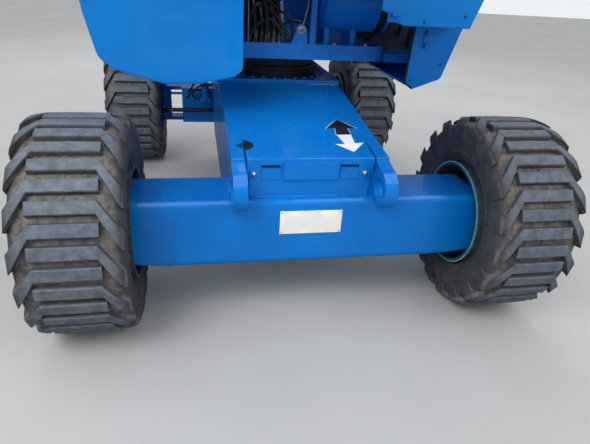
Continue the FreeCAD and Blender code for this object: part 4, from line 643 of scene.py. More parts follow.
def turntable_front():
    rows = []
    for x, y, radius, thick, sway in HOSE_LOOPS:
        turns = [pi * k / 8 for k in range(9)]
        rows.append((thick, [(x + sway * sin(2 * a), y - radius * cos(a), BASE_TOP + radius * sin(a))
                             for a in turns]))
    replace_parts(hoses("hose_loops", rows, "turntable"), "hoses")
    hoses("loose_hoses", LOOSE_HOSES, "turntable")

    eye = at(82, BASE_FRONT + 6, 1332)
    turned(eye, FRONT, [(-16, 12), (1, 12), (1, 24), (4, 24), (4, 15), (12, 15), (14, 12)], 24)
    bolt(eye + Vector((0, -0.002, 0)), FRONT, 12)
    tube([at(84, -501, 1340), at(96, -500, 1390), at(112, -498, 1452), at(116, -480, 1540)], 0.0035, 8)
    tube([at(-222, -492, BASE_TOP), at(-222, -492, 1500), at(-222, -490, 1905)], 0.005, 10)
    piece("eye_bolt_and_rods", "bolt_silver", "turntable")

    y, z, r = TANK
    turned(at(532, y, z), RIGHT, [(0, r - 1), (0.5, r + 4), (44, r + 4), (44.5, r - 1)], 72)
    slab(at(555, y - 12, z + r + 3), UP, REAR, 60, 40, 14)
    piece("tank_straps", "seal_rubber", "turntable")
    turned(at(430, y, z + r - 6), UP, [(0, 46), (14, 46), (14, 38), (40, 38)], 32)
    turned(at(430, y, z + r + 32), UP, [(0, 45), (3, 48), (18, 48), (24, 42), (26, 10)], 12)
    ring(at(249, y, z), RIGHT, r - 0.5, 4, 72, 6)
    turned(at(620, y, z), RIGHT, [(0, 30), (8, 30), (8, 20), (20, 20), (22, 14)], 6)
    piece("tank_cap_and_seams", "tank_blue", "turntable")
    # rubber edging on the skirt's front edge, and the pad that the riser comes down on
    edge = [at(668, -722, 1398), at(661, -722, 1250), at(655, -722, 1093), at(706, -722, 1063)]
    tube(edge, 0.007, 8)
    block((64, 168), (-488, -452), (1560, 1576))
    piece("edging_and_rest_pad", "seal_rubber", "turntable", 0.002)
    bolts("base_plate_bolts", [(x, -470, BASE_TOP) for x in (-540, -420, 290, 480)]
          + [(x, 1030, BASE_TOP) for x in (-540, -200, 200, 540)], UP, 11, "turntable")
    weld((26, BASE_FRONT + 4, BASE_TOP + 1), (122, BASE_FRONT + 4, BASE_TOP + 1), 3.5)
    weld((132, BASE_FRONT + 8, BASE_TOP + 1), (170, BASE_FRONT + 8, BASE_TOP + 1), 3.5)
    for x in (125, 147):
        for side in SIDES:
            weld((side * x, 484, BASE_TOP + 1), (side * x, 1066, BASE_TOP + 1), 5.0)
    piece("turntable_welds", "body_blue", "turntable")


def slew_gear():
    count = 90
    for k in range(count):
        turn = TURN * k / count
        out = Vector((cos(turn), sin(turn), 0))
        along = Vector((-out.y, out.x, 0))
        slab(at(0, 0, 1052) + out * 0.284, out, along, 9, 44, 9)
    piece("slew_teeth", "dark_steel", "chassis", 0.0012)
    spots = [(x, y * 0.92, z) for x, y, z in around(0, 0, 1020, 330, 30)]
    bolts("bearing_bolts", [s for s in spots if s[1] > -312], UP, 10, "chassis", "body_blue")


# Hoods, skirt and the ground operator's box

HOOD_TOP = 1945.0
# hood's body, x of its hinge leaves' bolts, latch x and z, latch's outward direction
LATCHES = (("cover_left", -327, (-990, 1316), (-0.974, 0, -0.226)),
           ("cover_right", 561, (946, 1560), (0.95, 0, -0.31)))
LATCH_Y = (-560, 860)
FLANGE_BOLTS = ((425, 1640), (440, 1760), (640, 1436), (860, 1470), (900, 1620))


def hoods():
    for body, hinge_x, (x, z), out in LATCHES:
        spots = [(hinge_x, y + step, HOOD_TOP + 5) for y in (-750, 90, 930) for step in (-28, 28)]
        bolts(body + "_hinge_bolts", spots, UP, 7, body)
        for y in LATCH_Y:
            slab(at(x, y, z), out, REAR, 132, 62, 7, 6)
            slab(at(x, y, z) + Vector(out) * 0.007, out, REAR, 96, 34, 6)
            slab(at(x, y - 8, z) + Vector(out) * 0.013, out, REAR, 70, 22, 5)
        piece(body + "_latches", "control_black", body, 0.003)
        # the hood's side leans in by this for each step up
        lean = -out[2] * copysign(1, out[0])
        for y in LATCH_Y:
            for step in (-57, 57):
                for rise in (-22, 22):
                    spot = at(x, y + step, z + rise) + Vector(out) * 0.007
                    spot.x += rise / 1000 * lean
                    turned(spot, out, [(-4, 4), (2.4, 4), (3, 2)], 10)
        piece(body + "_latch_screws", "bolt_silver", body)
    # flange in front of the right hood, towards the riser
    bolts("flange_bolts", [(x, -900, z) for x, z in FLANGE_BOLTS], FRONT, 8, "cover_right", "body_blue")
    slab(at(470, -900, 1448), FRONT, RIGHT, 74, 46, 6)
    slab(at(470, -906, 1462), FRONT, RIGHT, 40, 16, 22)
    piece("flange_catch", "body_blue", "cover_right", 0.002)
    slab(at(742, -720, 1330), FRONT, RIGHT, 26, 82, 6)
    slab(at(742, -726, 1356), FRONT, RIGHT, 18, 18, 24)
    slab(at(742, -726, 1306), FRONT, RIGHT, 18, 12, 16)
    piece("skirt_catch", "body_blue", "turntable", 0.002)
    bolts("skirt_bolts", [(742, -726, 1370), (742, -726, 1290), (690, -720, 1110), (860, -720, 1200)],
          FRONT, 6, "turntable", "body_blue")


# the ground box's face: its middle and its slope
FACE_AT, FACE_COS, FACE_SIN = (948, 600, 1280), 0.9615, 0.2743
SWITCHES = [-110 + 34 * k for k in range(6)]


def control_face(along, up, lift=0.0):
    """A place on the ground box's face: along Y, up the slope and out of it, from its middle."""
    x, y, z = FACE_AT
    return at(x + FACE_SIN * up + FACE_COS * lift, y + along, z + FACE_COS * up - FACE_SIN * lift)


def ground_box():
    out = Vector((FACE_COS, 0, -FACE_SIN))
    slab(control_face(0, 0), out, REAR, 316, 172, 3)
    for along in SWITCHES:
        turned(control_face(along, 28, 3), out, [(0, 10), (3, 10), (4, 7), (9, 6)], 16)
    slab(control_face(112, 22, 3), out, REAR, 56, 56, 5)
    ring(control_face(-20, -72, 6), REAR, 9, 3, 20, 8)
    piece("ground_panel", "display_dark", "turntable", 0.0015)
    for k, along in enumerate(SWITCHES):
        lever = out + Vector((0, 0, 0.5 if k % 2 else -0.1))
        turned(control_face(along, 28, 9), lever, [(-2, 2.6), (16, 2.2), (18, 3.2), (22, 2.4)], 10)
    turned(control_face(-96, -36, 3), out, [(0, 13), (8, 13), (9, 9), (10, 3)], 20)
    slab(control_face(-96, -36, 12), out, REAR, 4, 16, 14)
    for y in (-150, 150):
        for z in (-78, 78):
            bolt(control_face(y, z, 3), out, 4)
    piece("ground_switches", "bolt_silver", "turntable")
    turned(control_face(112, 22, 8), out, [(0, 13), (14, 13), (15, 21), (24, 21), (28, 16), (29, 4)], 28)
    piece("ground_stop", "stop_red", "turntable")


# Counterweight and lamp

TAIL, WEIGHT_TOP = 1520.0, 1740.0
EYES_Y, LAMP_AT = 1250, (-770, 1250)


def counterweight():
    for x in (-560, 560):
        slab(at(x, EYES_Y, WEIGHT_TOP), UP, REAR, 150, 90, 12)
        slab(at(x, EYES_Y, WEIGHT_TOP + 10), UP, REAR, 96, 24, 30)
        ring(at(x, EYES_Y, WEIGHT_TOP + 52), RIGHT, 30, 12, 32, 10)
    piece("lifting_eyes", "body_blue", "turntable", 0.003)
    bolts("weight_bolts", [(x, TAIL, z) for x in (-420, -140, 140, 420) for z in (1330, 1560)],
          REAR, 24, "turntable")
    x, y = LAMP_AT
    turned(at(x, y, WEIGHT_TOP), UP, [(-1, 62), (18, 62), (23, 58), (23, 40)], 40)
    piece("lamp_base", "seal_rubber", "turntable")
    for k in range(9):
        ring(at(x, y, WEIGHT_TOP + 30 + 8 * k), UP, 45.5, 1.8, 40, 6)
    piece("beacon_ribs", "lamp_amber", "turntable")


# Pins of the arms

FORK_FACE, PIN_END = 147.0, 161.0
# a keeper plate is bolted under a pin that stands out this much
KEEPER_ROOM = 8
# body, end of the pin from the middle, face of its plate, pin radius, (y, z) of the pins
PINS = (
    ("turntable", PIN_END, FORK_FACE, 34, ((850, 1680),)),
    ("turntable", PIN_END, FORK_FACE, 22, ((960, 1830),)),
    ("mid_pivot", PIN_END, FORK_FACE, 34, ((-1950, 1680), (-1900, 1980))),
    ("mid_pivot", PIN_END, FORK_FACE, 22, ((-1840, 1830), (-2010, 2130))),
    ("upper_pivot", PIN_END, FORK_FACE, 34, ((750, 1980), (950, 2420))),
    ("upper_pivot", PIN_END, FORK_FACE, 22, ((640, 2130),)),
    ("upper_pivot", PIN_END, FORK_FACE, 24, ((820, 2223),)),
    ("boom_extension", 122, 112, 22, ((-4480, 2330),)),
    ("level_bracket", 88, 84, 22, ((-4620, 2080),)),
    ("platform_support", 88, 84, 22, ((-5296.2, 629.9),)),
)


def arm_pins():
    for number, (body, end, face, radius, places) in enumerate(PINS):
        keeper = end - face > KEEPER_ROOM
        ends = [(side, y, z) for y, z in places for side in SIDES]
        for side, y, z in ends:
            out = (side, 0, 0)
            turned(at(side * end, y, z), out, [(-1, radius + 2), (4, radius + 2), (6, radius - 3)], 32)
            turned(at(side * (end + 5), y, z), out, [(0, 6), (3, 6), (4, 3), (9, 3), (11, 2)], 10)
            for step in (-0.75, 0.75) if keeper else ():
                bolt(at(side * (face + 7), y + radius * step, z - radius - 26), out, 7)
        piece(f"pin_ends_{number}_{body}", "bolt_silver", body)
        for side, y, z in ends:
            out = (side, 0, 0)
            ring(at(side * (face + 0.5), y, z), out, radius + 11, 5.5, 40, 8)
            if keeper:
                slab(at(side * face, y, z - radius - 26), out, REAR, radius * 2.2, 22, 7)
        piece(f"pin_collars_{number}_{body}", "boom_blue", body, 0.0015)


# name, base and eye as (y, z), tube radius, rod radius, half the eye's width, side of the ports and the pipe
CYLINDERS = (
    ("riser", (600, 1340), (-140, 1530), 54, 30, 50, "over"),
    ("boom", (820, 2223), (190, 2235), 46, 28, 42, "beside"),
    ("jib", (-4606, 1910), (-4846, 1346.8), 30, 18, 30, "under"),
    ("level", (-4076, 2390), (-4390, 2350), 28, 14, 18, "over"),
)


def cylinders():
    for name, base, eye, tube_r, rod_r, half, ports_at in CYLINDERS:
        start, end = at(0, *base), at(0, *eye)
        ahead = (end - start).normalized()
        length = (end - start).length * 1000
        over = ahead.cross(Vector(RIGHT))
        if (over.z > 0) == (ports_at == "under"):
            over = -over
        if ports_at == "beside":
            over = Vector(RIGHT)
        across = ahead.cross(over)
        gland = length - 75
        near, far = [start + ahead * along / 1000 for along in (tube_r + 34, gland - 62)]
        side = across * (tube_r * 0.55) / 1000
        turned(start, ahead, [(gland - 42, tube_r), (gland - 40, tube_r + 3.5), (gland - 8, tube_r + 3.5),
                              (gland - 5, tube_r + 1), (gland, tube_r - 2), (gland + 0.4, rod_r + 3)], 40)
        for port in (near, far):
            slab(port + over * (tube_r - 2) / 1000, over, ahead, 34, 26, 16, 4)
        for share in (0.3, 0.7):
            clip = near.lerp(far, share) + side + over * (tube_r * 0.8) / 1000
            slab(clip, over, ahead, 16, 30, tube_r * 0.2 + 16, 6)
        piece(name + "_gland", "cylinder_black", name + "_barrel", 0.001)
        for port in (near, far):
            turned(port + over * (tube_r + 12) / 1000, over, [(0, 9), (10, 9), (12, 7), (16, 7)], 6)
        # steel pipe from the far port back along the barrel
        rise = over * (tube_r + 8) / 1000
        pipe = [far + over * (tube_r + 24) / 1000, far + rise * 1.25 + side * 0.6,
                far + rise * 0.93 + side - ahead * 0.03, near + rise * 0.93 + side + ahead * 0.03]
        tube(curve_points(pipe, 6), 0.0055, 10)
        ring(start + ahead * (gland + 1) / 1000, ahead, rod_r + 3, 1.6, 32, 6)
        piece(name + "_pipe", "fitting_zinc", name + "_barrel")
        for hand in SIDES:
            turned(end + Vector((hand * (half - 1) / 1000, 0, 0)), (hand, 0, 0),
                   [(0, rod_r + 5), (2.5, rod_r + 5), (3, rod_r - 2)], 32)
        turned(end - ahead * (rod_r + 7) / 1000, -ahead, [(-2, 7), (5, 6), (6, 3.5), (11, 3.5), (12, 2)], 8)
        piece(name + "_eye_trim", "cylinder_black", name + "_rod")


# Booms

BOOM_Z, BOOM_NOSE, BOOM_TAIL = 2420.0, -3900.0, 1080.0
TRAY_FROM, TRAY_TO = -3840.0, 50.0
# x, z and radius of the hoses in the tray
TRAY_HOSES = ((124, 2375, 10), (147, 2374, 11), (125, 2399, 11), (147, 2400, 9), (124, 2424, 10),
              (147, 2423, 11))


def booms():
    for y in (BOOM_NOSE + 30, BOOM_NOSE + 90):
        for z in (-60, 60):
            bolt(at(-110, y, BOOM_Z + z), LEFT, 9)
        for x in (-60, 60):
            bolt(at(x, y, BOOM_Z - 130), DOWN, 9)
    for x in (-80, 80):
        for z in (-98, 98):
            bolt(at(x, BOOM_TAIL + 6, BOOM_Z + z), REAR, 8)
    piece("boom_bolts", "bolt_silver", "primary_boom")
    slab(at(0, BOOM_TAIL, BOOM_Z), REAR, RIGHT, 200, 240, 6)
    # collar around the nose and doubler plates at the pivot
    for x in (-110, 110):
        slab(at(x, BOOM_NOSE + 8, BOOM_Z), (x, 0, 0), UP, 258, 16, 7)
        slab(at(x, 950, BOOM_Z), (x, 0, 0), REAR, 190, 180, 6)
    slab(at(0, BOOM_NOSE + 8, BOOM_Z - 130), DOWN, RIGHT, 234, 16, 7)
    for x in (-108, 108):
        for z in (-126, 126):
            weld((x, BOOM_NOSE + 20, BOOM_Z + z), (x, BOOM_TAIL - 10, BOOM_Z + z), 3.2, 24.0)
    piece("boom_collar", "boom_blue", "primary_boom", 0.0015)
    rows = []
    for number, (x, z, radius) in enumerate(TRAY_HOSES):
        corners = [(x + 1.2 * sin(2.3 * k + 2 * number), TRAY_TO - 8 + (TRAY_FROM + 24 - TRAY_TO) * k / 14,
                    z + 1.6 * sin(1.7 * k + number)) for k in range(15)]
        rows.append((radius, corners))
    hoses("tray_hoses", rows, "primary_boom")
    for k in range(7):
        y = TRAY_TO - 60 + (TRAY_FROM + 110 - TRAY_TO) * k / 6
        slab(at(136, y, 2438), UP, REAR, 36, 45, 6)
        bolt(at(136, y, 2444), UP, 6)
        slab(at(162, y, 2420), RIGHT, REAR, 26, 100, 3)
    for y in (TRAY_TO - 4, TRAY_FROM + 8):
        slab(at(136, y, 2402), REAR, RIGHT, 45, 76, 5)
    piece("tray_clamps", "bolt_silver", "primary_boom", 0.001)


# name, height, half the tube's height, seams' ends, places of the plates, their length and height
RISERS = (("lower_riser", 1680, 98, (-1770, 670), (-1700, 560), (200, 130)),
          ("upper_riser", 1980, 88, (-1710, 570), (-1650, 480), (180, 116)))


def risers():
    """Seams along the riser tubes, doubler plates on their sides and the pad between them."""
    for name, z, half, (start, end), plates, (wide, tall) in RISERS:
        for x in (-95, 95):
            for rise in (-half, half):
                weld((x * 0.985, start, z + rise), (x * 0.985, end, z + rise), 3.0, 24.0)
            for y in plates:
                slab(at(x, y, z), (x, 0, 0), REAR, wide, tall, 5)
        piece(name + "_seams", "boom_blue", name, 0.001)
    slab(at(0, -600, 1780), UP, REAR, 150, 90, 14)
    slab(at(0, -600, 1793), UP, REAR, 120, 70, 8)
    piece("riser_rest", "seal_rubber", "lower_riser", 0.003)


def nose_and_jib():
    for x in (-112, 112):
        for y in (-4110, -4060):
            for z in (-50, 50):
                bolt(at(x, y + 8, 2420 + z), (x, 0, 0), 9)
    piece("nose_bolts", "bolt_silver", "boom_extension")
    slab(at(0, -4150, 2420), FRONT, RIGHT, 150, 190, 5)
    for side in SIDES:
        weld((side * 93, -4146, 2500), (side * 93, -4146, 2345), 4.0)
        weld((side * 85, -4000, 2523), (side * 85, -4148, 2523), 3.0)
    piece("nose_plate", "boom_blue", "boom_extension", 0.001)
    for body, y, z in (("level_bracket", -4620, 2230), ("platform_support", -5296.2, 779.9)):
        for side in SIDES:
            turned(at(side * 111, y, z), (side, 0, 0), [(-1, 27), (2, 27), (2.5, 22)], 20)
            turned(at(side * 113, y, z), (side, 0, 0), [(0, 24), (8, 24), (9.5, 19), (9.6, 11), (14, 10)], 6)
        piece("link_nuts_" + body, "bolt_silver", body)
    # hoses along the jib's back, held by clips
    droop = radians(65)
    along = Vector((0, -cos(droop), -sin(droop)))
    out = Vector((0, -sin(droop), cos(droop)))
    rows = []
    for x, radius in ((-20, 9), (2, 10), (24, 9)):
        corners = []
        for k in range(9):
            spot = along * (150 + 160 * k) + out * (116 + radius + 1.5 + 1.5 * sin(1.9 * k + x))
            corners.append((x + sin(1.3 * k + x), -4620 + spot.y, 2080 + spot.z))
        rows.append((radius, corners))
    hoses("jib_hoses", rows, "jib_boom")
    for k in range(4):
        spot = at(2, -4620, 2080) + (along * (300 + 330 * k) + out * 116) / 1000
        slab(spot, out, along, 26, 84, 24)
        for x in (-33, 33):
            bolt(spot + Vector((x / 1000, 0, 0)) + out * 0.024, out, 5)
    piece("jib_clips", "bolt_silver", "jib_boom", 0.001)
    y, z = -5521, 760
    turned(at(0, y, z), UP, [(-1, 78), (8, 78), (10, 74), (10, 40), (22, 38), (24, 30)], 40)
    for spot in around(0, y, z + 9, 61, 8, 0.3):
        bolt(at(*spot), UP, 7)
    piece("swivel_cover", "cylinder_black", "platform_support", 0.0006)
    bolts("hanger_bolts", around(0, y, 440.2, 88, 8), DOWN, 8, "platform")


# Platform

FLOOR, PLATFORM_BACK, PLATFORM_FRONT, RAIL_X = 404.0, -5736.0, -6646.0, 1201.0
RAIL_TOP, RAIL_MID = FLOOR + 1100 - 19, FLOOR + 550
# weld beads around the rails and their posts' feet: radius, thickness, sides, sides of its section
RAIL_BEAD, FOOT_BEAD = (19, 2.6, 20, 6), (20, 3.2, 20, 6)
RIVET = [(-7, 7), (3, 7), (4.5, 4), (5, 1)]


def tread_plate():
    """Raised lozenges on the floor, turned by turns."""
    pitch = 34.0
    columns, lines = int(2300 / pitch), int(790 / pitch)
    for i in range(columns):
        for j in range(lines):
            x = -1150 + pitch * (i + 0.5)
            y = PLATFORM_FRONT + 62 + pitch * (j + 0.5)
            turn = radians(45 if (i + j) % 2 else -45)
            one = Vector((cos(turn), sin(turn), 0)) * 0.0125
            two = Vector((-sin(turn), cos(turn), 0)) * 0.0038
            corners = (one, two, -one, -two)
            spot, rise = at(x, y, FLOOR - 0.2), Vector((0, 0, 0.0019))
            strip([[spot + p for p in corners], [spot + p * 0.72 + rise for p in corners]], foot=False)
    piece("floor_lozenges", "rail_grey", "platform")


def rail_joints():
    third = RAIL_X / 3
    for x in (-RAIL_X, -third, third, RAIL_X):
        for y in (PLATFORM_BACK - 19, PLATFORM_FRONT + 19):
            for z in (RAIL_TOP, RAIL_MID):
                for side in SIDES:
                    if abs(x + side * 19) < RAIL_X:
                        ring(at(x + side * 19.5, y, z), RIGHT, *RAIL_BEAD)
            ring(at(x, y, FLOOR + 1), UP, *FOOT_BEAD)
    for z in (RAIL_TOP, RAIL_MID):
        for y in (PLATFORM_FRONT + 38.5, PLATFORM_BACK - 38.5, -6191 - 19.5, -6191 + 19.5):
            ring(at(RAIL_X, y, z), REAR, *RAIL_BEAD)
    ring(at(RAIL_X, -6191, FLOOR + 1), UP, *FOOT_BEAD)
    for y in (PLATFORM_FRONT + 130, PLATFORM_FRONT + 770):
        ring(at(-RAIL_X, y, FLOOR + 1), UP, *FOOT_BEAD)
        turned(at(-RAIL_X, y, FLOOR + 1099), UP, [(0, 19), (3, 19), (5, 14), (6, 3)], 20)
    # rings for the lanyards, on plates under the top rail
    for x in (-800, 800):
        for y, out in ((PLATFORM_BACK - 19, -1), (PLATFORM_FRONT + 19, 1)):
            slab(at(x, y, RAIL_TOP - 18), DOWN, RIGHT, 50, 10, 34)
            ring(at(x, y + out * 14, RAIL_TOP - 42), (1, 0, 0.2), 19, 4.5, 24, 8)
    # toe boards' ends and the hanger's welds
    for side in SIDES:
        for x in (50, 90):
            weld((side * x, PLATFORM_BACK + 41, 356), (side * x, PLATFORM_BACK + 41, 436), 3.5)
    # beads on the outermost rail stay inside the machine's length
    for vert in Draft.bm.verts:
        vert.co.y = max(vert.co.y, CAD_BOX[0][1])
    piece("rail_joints", "rail_grey", "platform")
    for x in (-1050, -720, -340, 340, 720, 1050):
        turned(at(x, PLATFORM_BACK - 17.5, FLOOR + 50), REAR, RIVET, 12)
        turned(at(x, PLATFORM_FRONT + 14, FLOOR + 50), FRONT, RIVET, 12)
    piece("toe_board_rivets", "bolt_silver", "platform")


def gate_latch():
    y = PLATFORM_FRONT + 130
    slab(at(-RAIL_X - 12, y + 26, 1290), LEFT, REAR, 74, 44, 10)
    turned(at(-RAIL_X - 22, y + 40, 1290), LEFT, [(0, 8), (10, 8), (12, 15), (22, 15), (25, 9)], 20)
    piece("gate_latch", "bolt_silver", "gate", 0.001)
    for z in (FLOOR + 198, FLOOR + 848):
        for rise in (0, 44):
            ring(at(-RAIL_X, -5919, z + rise), UP, 20, 3, 20, 6)
    piece("gate_collars", "rail_grey", "platform")


# Console: joysticks, switches in rows, a display and the stop button; all without lettering
CONSOLE_TOP = 1524.0
JOYSTICK = [(0, 36), (5, 36), (7, 30), (13, 27), (17, 29), (23, 22), (27, 24), (33, 16), (39, 8), (90, 7),
            (92, 15), (104, 19), (122, 18), (134, 12), (137, 4)]
SWITCH_FOOT = [(0, 9), (3, 9), (4, 6.5), (8, 6)]
SWITCH_LEVER = [(-2, 2.6), (15, 2.2), (17, 3.2), (21, 2.4)]
# switches, 30 mm apart: x and y of the first, count, how the levers lean
SWITCH_ROWS = ((-120, -5960, 9, (0, 0.5, 0)), (-60, -5820, 5, (0.4, 0, 0)))
# foot switch: its place, and its pedal, cheeks and hood as outlines (y, height above the floor) and their x
FOOT_SWITCH_AT = (260, -6140)
CHEEK = ((-58, 12), (58, 12), (58, 60), (-20, 96), (-58, 96))
FOOT_SWITCH = (
    (((-48, 16), (48, 16), (48, 26), (-48, 46)), -46, 46),
    (CHEEK, -75, -69),
    (CHEEK, 69, 75),
    (((-58, 92), (-20, 92), (58, 56), (58, 61), (-20, 98), (-58, 98)), -75, 75))


def console():
    for x in (-215, 205):
        turned(at(x, -5900, CONSOLE_TOP), (0.06 if x < 0 else -0.04, 0.05, 1), JOYSTICK, 28)
    switches = [(first + 30 * k, y, Vector(UP) + Vector(lean) * (k % 3 - 1))
                for first, y, count, lean in SWITCH_ROWS for k in range(count)]
    for x, y, lever in switches:
        turned(at(x, y, CONSOLE_TOP), UP, SWITCH_FOOT, 16)
    slab(at(0, -5890, CONSOLE_TOP), UP, RIGHT, 220, 66, 4)
    path = curve_points([at(-300, -5990, CONSOLE_TOP - 60), at(-306, -6012, CONSOLE_TOP + 20),
                         at(-240, -6018, CONSOLE_TOP + 54), at(240, -6018, CONSOLE_TOP + 54),
                         at(306, -6012, CONSOLE_TOP + 20), at(300, -5990, CONSOLE_TOP - 60)])
    tube(path, 0.009, 12)
    piece("console_controls", "control_black", "platform")
    slab(at(0, -5890, CONSOLE_TOP + 4), UP, RIGHT, 120, 46, 2)
    for k in range(4):
        turned(at(75 + 10 * k, -5885, CONSOLE_TOP + 4), UP, [(0, 3.4), (1.5, 3.2), (2.4, 1)], 12)
    piece("console_display", "display_dark", "platform", 0.0008)
    for x, y, lever in switches:
        turned(at(x, y, CONSOLE_TOP + 8), lever, SWITCH_LEVER, 10)
    for x in (-290, 290):
        for y in (-5986, -5785):
            bolt(at(x, y, CONSOLE_TOP), UP, 5)
    piece("console_levers", "bolt_silver", "platform")
    turned(at(-5, -5850, CONSOLE_TOP), UP,
           [(0, 22), (5, 22), (6, 13), (16, 13), (17, 21), (25, 21), (29, 16), (30, 4)], 28)
    piece("console_stop", "stop_red", "platform")
    x, y = FOOT_SWITCH_AT
    block((x - 75, x + 75), (y - 60, y + 60), (FLOOR + 2.5, FLOOR + 16))
    for outline, left, right in FOOT_SWITCH:
        prism([(y + step, FLOOR + rise) for step, rise in outline], "X", x + left, x + right)
    piece("foot_switch", "control_black", "platform", 0.0015)


# Steering, engine and tank under the hoods

KINGPIN_X = 800


def steering():
    barrel = middle("steer_cylinder_barrel")
    y, z = (barrel.y - SLEW_Y) * 1000, barrel.z * 1000
    turned(at(-480, y, z), RIGHT, [(-1, 34), (0, 41), (30, 41), (32, 38)], 32)
    for x in (-430, -100):
        turned(at(x, y, z + 36), UP, [(0, 12), (10, 12), (12, 9), (18, 9)], 6)
    piece("steering_gland", "cylinder_black", "chassis")
    rows = [(8, ((-430, y, z + 54), (-430, y + 4, z + 100), (-360, y - 10, z + 150), (-300, 1340, z + 130),
                 (-290, 1364, z + 140))),
            (8, ((-100, y, z + 54), (-104, y + 4, z + 90), (-150, y - 10, z + 120), (-230, 1345, z + 130),
                 (-236, 1364, z + 140)))]
    hoses("steering_hoses", rows, "chassis")
    # cylinders that hold the axle level, one on each side, and the hoses beside the left one
    for side in SIDES:
        x = side * 440
        turned(at(x, 1040, 546), UP, [(0, 22), (2, 34), (130, 34), (134, 38), (158, 38), (162, 20),
                                      (168, 15), (235, 15)], 32)
        slab(at(side * 376, 1040, 790), (side, 0, 0), UP, 60, 56, 92)
        slab(at(x, 1080, 562), FRONT, RIGHT, 96, 44, 62)
    piece("axle_cylinders", "body_blue", "chassis", 0.002)
    hoses("axle_hoses", [
        (8, ((-376, 1000, 760), (-440, 985, 770), (-520, 1000, 720), (-560, 1030, 660), (-580, 1078, 620))),
        (7, ((-376, 1010, 700), (-470, 980, 700), (-550, 985, 645), (-585, 1020, 585), (-600, 1078, 572))),
        (7, ((-472, 1036, 650), (-520, 1010, 655), (-548, 1010, 620), (-525, 1025, 580), (-472, 1040, 572))),
    ], "chassis")
    for hand, x in (("left", -KINGPIN_X), ("right", KINGPIN_X)):
        turned(at(x, 1220, 682), UP, [(-20.5, 30), (-14, 30), (-12, 26), (-10, 26)], 32)
        bolt(at(x, 1220, 672), UP, 12)
        piece("kingpin_cap_" + hand, "bolt_silver", "chassis")
    tie = middle("tie_rod")
    for x in (-KINGPIN_X, KINGPIN_X):
        turned(Vector((x / 1000, tie.y, tie.z + 0.0215)), UP, [(0, 16), (12, 16), (13, 12), (18, 8)], 6)
        inward = -1 if x > 0 else 1
        turned(Vector(((x + inward * 60) / 1000, tie.y, tie.z)), (inward, 0, 0),
               [(0, 18), (1, 24), (16, 24), (17, 18)], 6)
    piece("tie_rod_nuts", "bolt_silver", "tie_rod")
    slab(at(0, 1360, 745), REAR, RIGHT, 420, 150, 5)
    piece("rear_cover", "body_blue", "chassis", 0.002)
    bolts("rear_cover_bolts", [(x, 1365, z) for x in (-190, 0, 190) for z in (685, 805)], REAR, 8, "chassis")


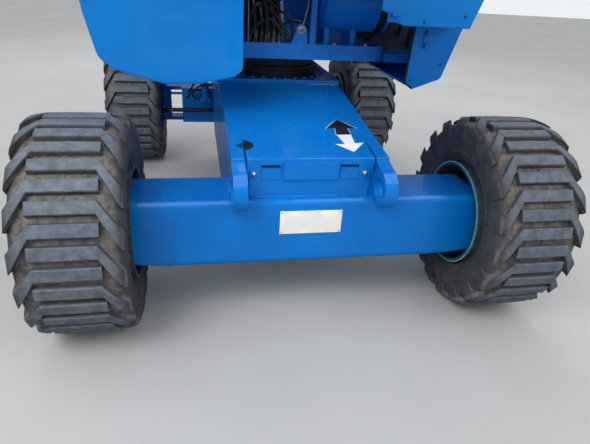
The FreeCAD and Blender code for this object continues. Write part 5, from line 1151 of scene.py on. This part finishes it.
def under_hoods():
    top, x = 1790, 740
    slab(at(x, 250, top), UP, REAR, 520, 170, 26)
    slab(at(x, 250, top + 25), UP, REAR, 470, 130, 22)
    for k in range(9):
        slab(at(870, -60 + 90 * k, 1560), RIGHT, REAR, 22, 300, 12)
    turned(at(870, -90, 1360), RIGHT, [(-2, 60), (16, 60), (18, 52), (30, 52), (32, 40)], 32)
    piece("engine_ribs", "engine_grey", "turntable", 0.002)
    turned(at(700, -152, 1640), FRONT, [(-2, 90), (60, 90), (66, 84), (66, 60), (150, 58), (154, 40)], 36)
    for z, r in ((1450, 86), (1620, 60)):
        turned(at(660, 850, z), REAR, [(-2, r), (10, r), (14, r - 8), (22, r - 8), (26, r), (36, r),
                                       (37, 20), (44, 20)], 32)
    piece("engine_pulleys", "dark_steel", "turntable", 0.001)
    hoses("engine_hoses", [
        (14, ((700, -300, 1600), (700, -330, 1560), (640, -320, 1400), (600, -240, 1300), (560, -200, 1260))),
        (11, ((800, -160, 1300), (790, -210, 1360), (740, -230, 1440), (700, -180, 1500), (690, -152, 1520))),
    ], "turntable")
    for y in (-250, 50, 350):
        slab(at(-760, y, 1460), LEFT, UP, 402, 40, 3)
        slab(at(-545, y, 1660), UP, RIGHT, 432, 40, 3)
    piece("fuel_tank_straps", "dark_steel", "turntable", 0.001)
    turned(at(-620, -330, 1660), UP, [(-1, 50), (22, 46), (22, 58), (44, 58), (48, 50), (49, 12)], 24)
    turned(at(-450, 420, 1660), UP, [(-1, 30), (10, 30), (12, 12), (30, 12)], 20)
    piece("fuel_cap", "control_black", "turntable", 0.001)


# Stage

# name, place, what it points at, size, power
LIGHTS = (("key", (-4.0, -3.0, 6.5), (0, 1.2, 0.6), 4.0, 420.0),
          ("fill", (5.0, -2.0, 4.0), (0, 1.5, 0.5), 4.0, 160.0),
          ("back", (1.0, 10.0, 6.0), (0, 2.0, 1.0), 5.0, 260.0))


def make_stage():
    bpy.ops.mesh.primitive_plane_add(size=60, location=(0, 0, 0))
    floor = bpy.context.object
    floor.name = "floor"
    s = Shade("floor_concrete", Roughness=0.75)
    tone = s.mix(s.ramp(s.noise(0.8, 6.0), 0.3, 0.75), (0.40, 0.397, 0.39), (0.46, 0.457, 0.45))
    # reflections see a darker floor
    s.link("Base Color", s.mix(s.glossy(), tone, (0.1, 0.11, 0.13)))
    s.bump(s.noise(60.0, 5.0), 0.0008)
    floor.data.materials.append(s.material)
    world = bpy.data.worlds.new("studio")
    w = Nodes(world, "Generated")
    sky = w.tree.nodes["Background"]
    sky.inputs[0].default_value = (0.90, 0.93, 0.96, 1)
    # reflections see a dim horizon and a bright opening overhead, which draws the folded edges
    overhead = w.ramp(w.along("Z"), 0.62, 0.78, 0.24, 2.2)
    w.tree.links.new(w.ramp(w.glossy(), 0.0, 1.0, 0.95, overhead), sky.inputs[1])
    bpy.context.scene.world = world
    for name, spot, aim, size, power in LIGHTS:
        data = bpy.data.lights.new(name, "AREA")
        data.size = size
        data.energy = power
        light = bpy.data.objects.new(name, data)
        light.location = spot
        light.rotation_euler = (Vector(aim) - Vector(spot)).to_track_quat("-Z", "Y").to_euler()
        light.visible_glossy = name == "key"
        bpy.context.scene.collection.objects.link(light)


for build in (chassis_trim, turntable_front, slew_gear, hoods, ground_box, counterweight, arm_pins,
              cylinders, booms, risers, nose_and_jib, tread_plate, rail_joints, gate_latch, console,
              steering, under_hoods, make_stage):
    build()
bpy.context.scene.view_settings.view_transform = "Standard"
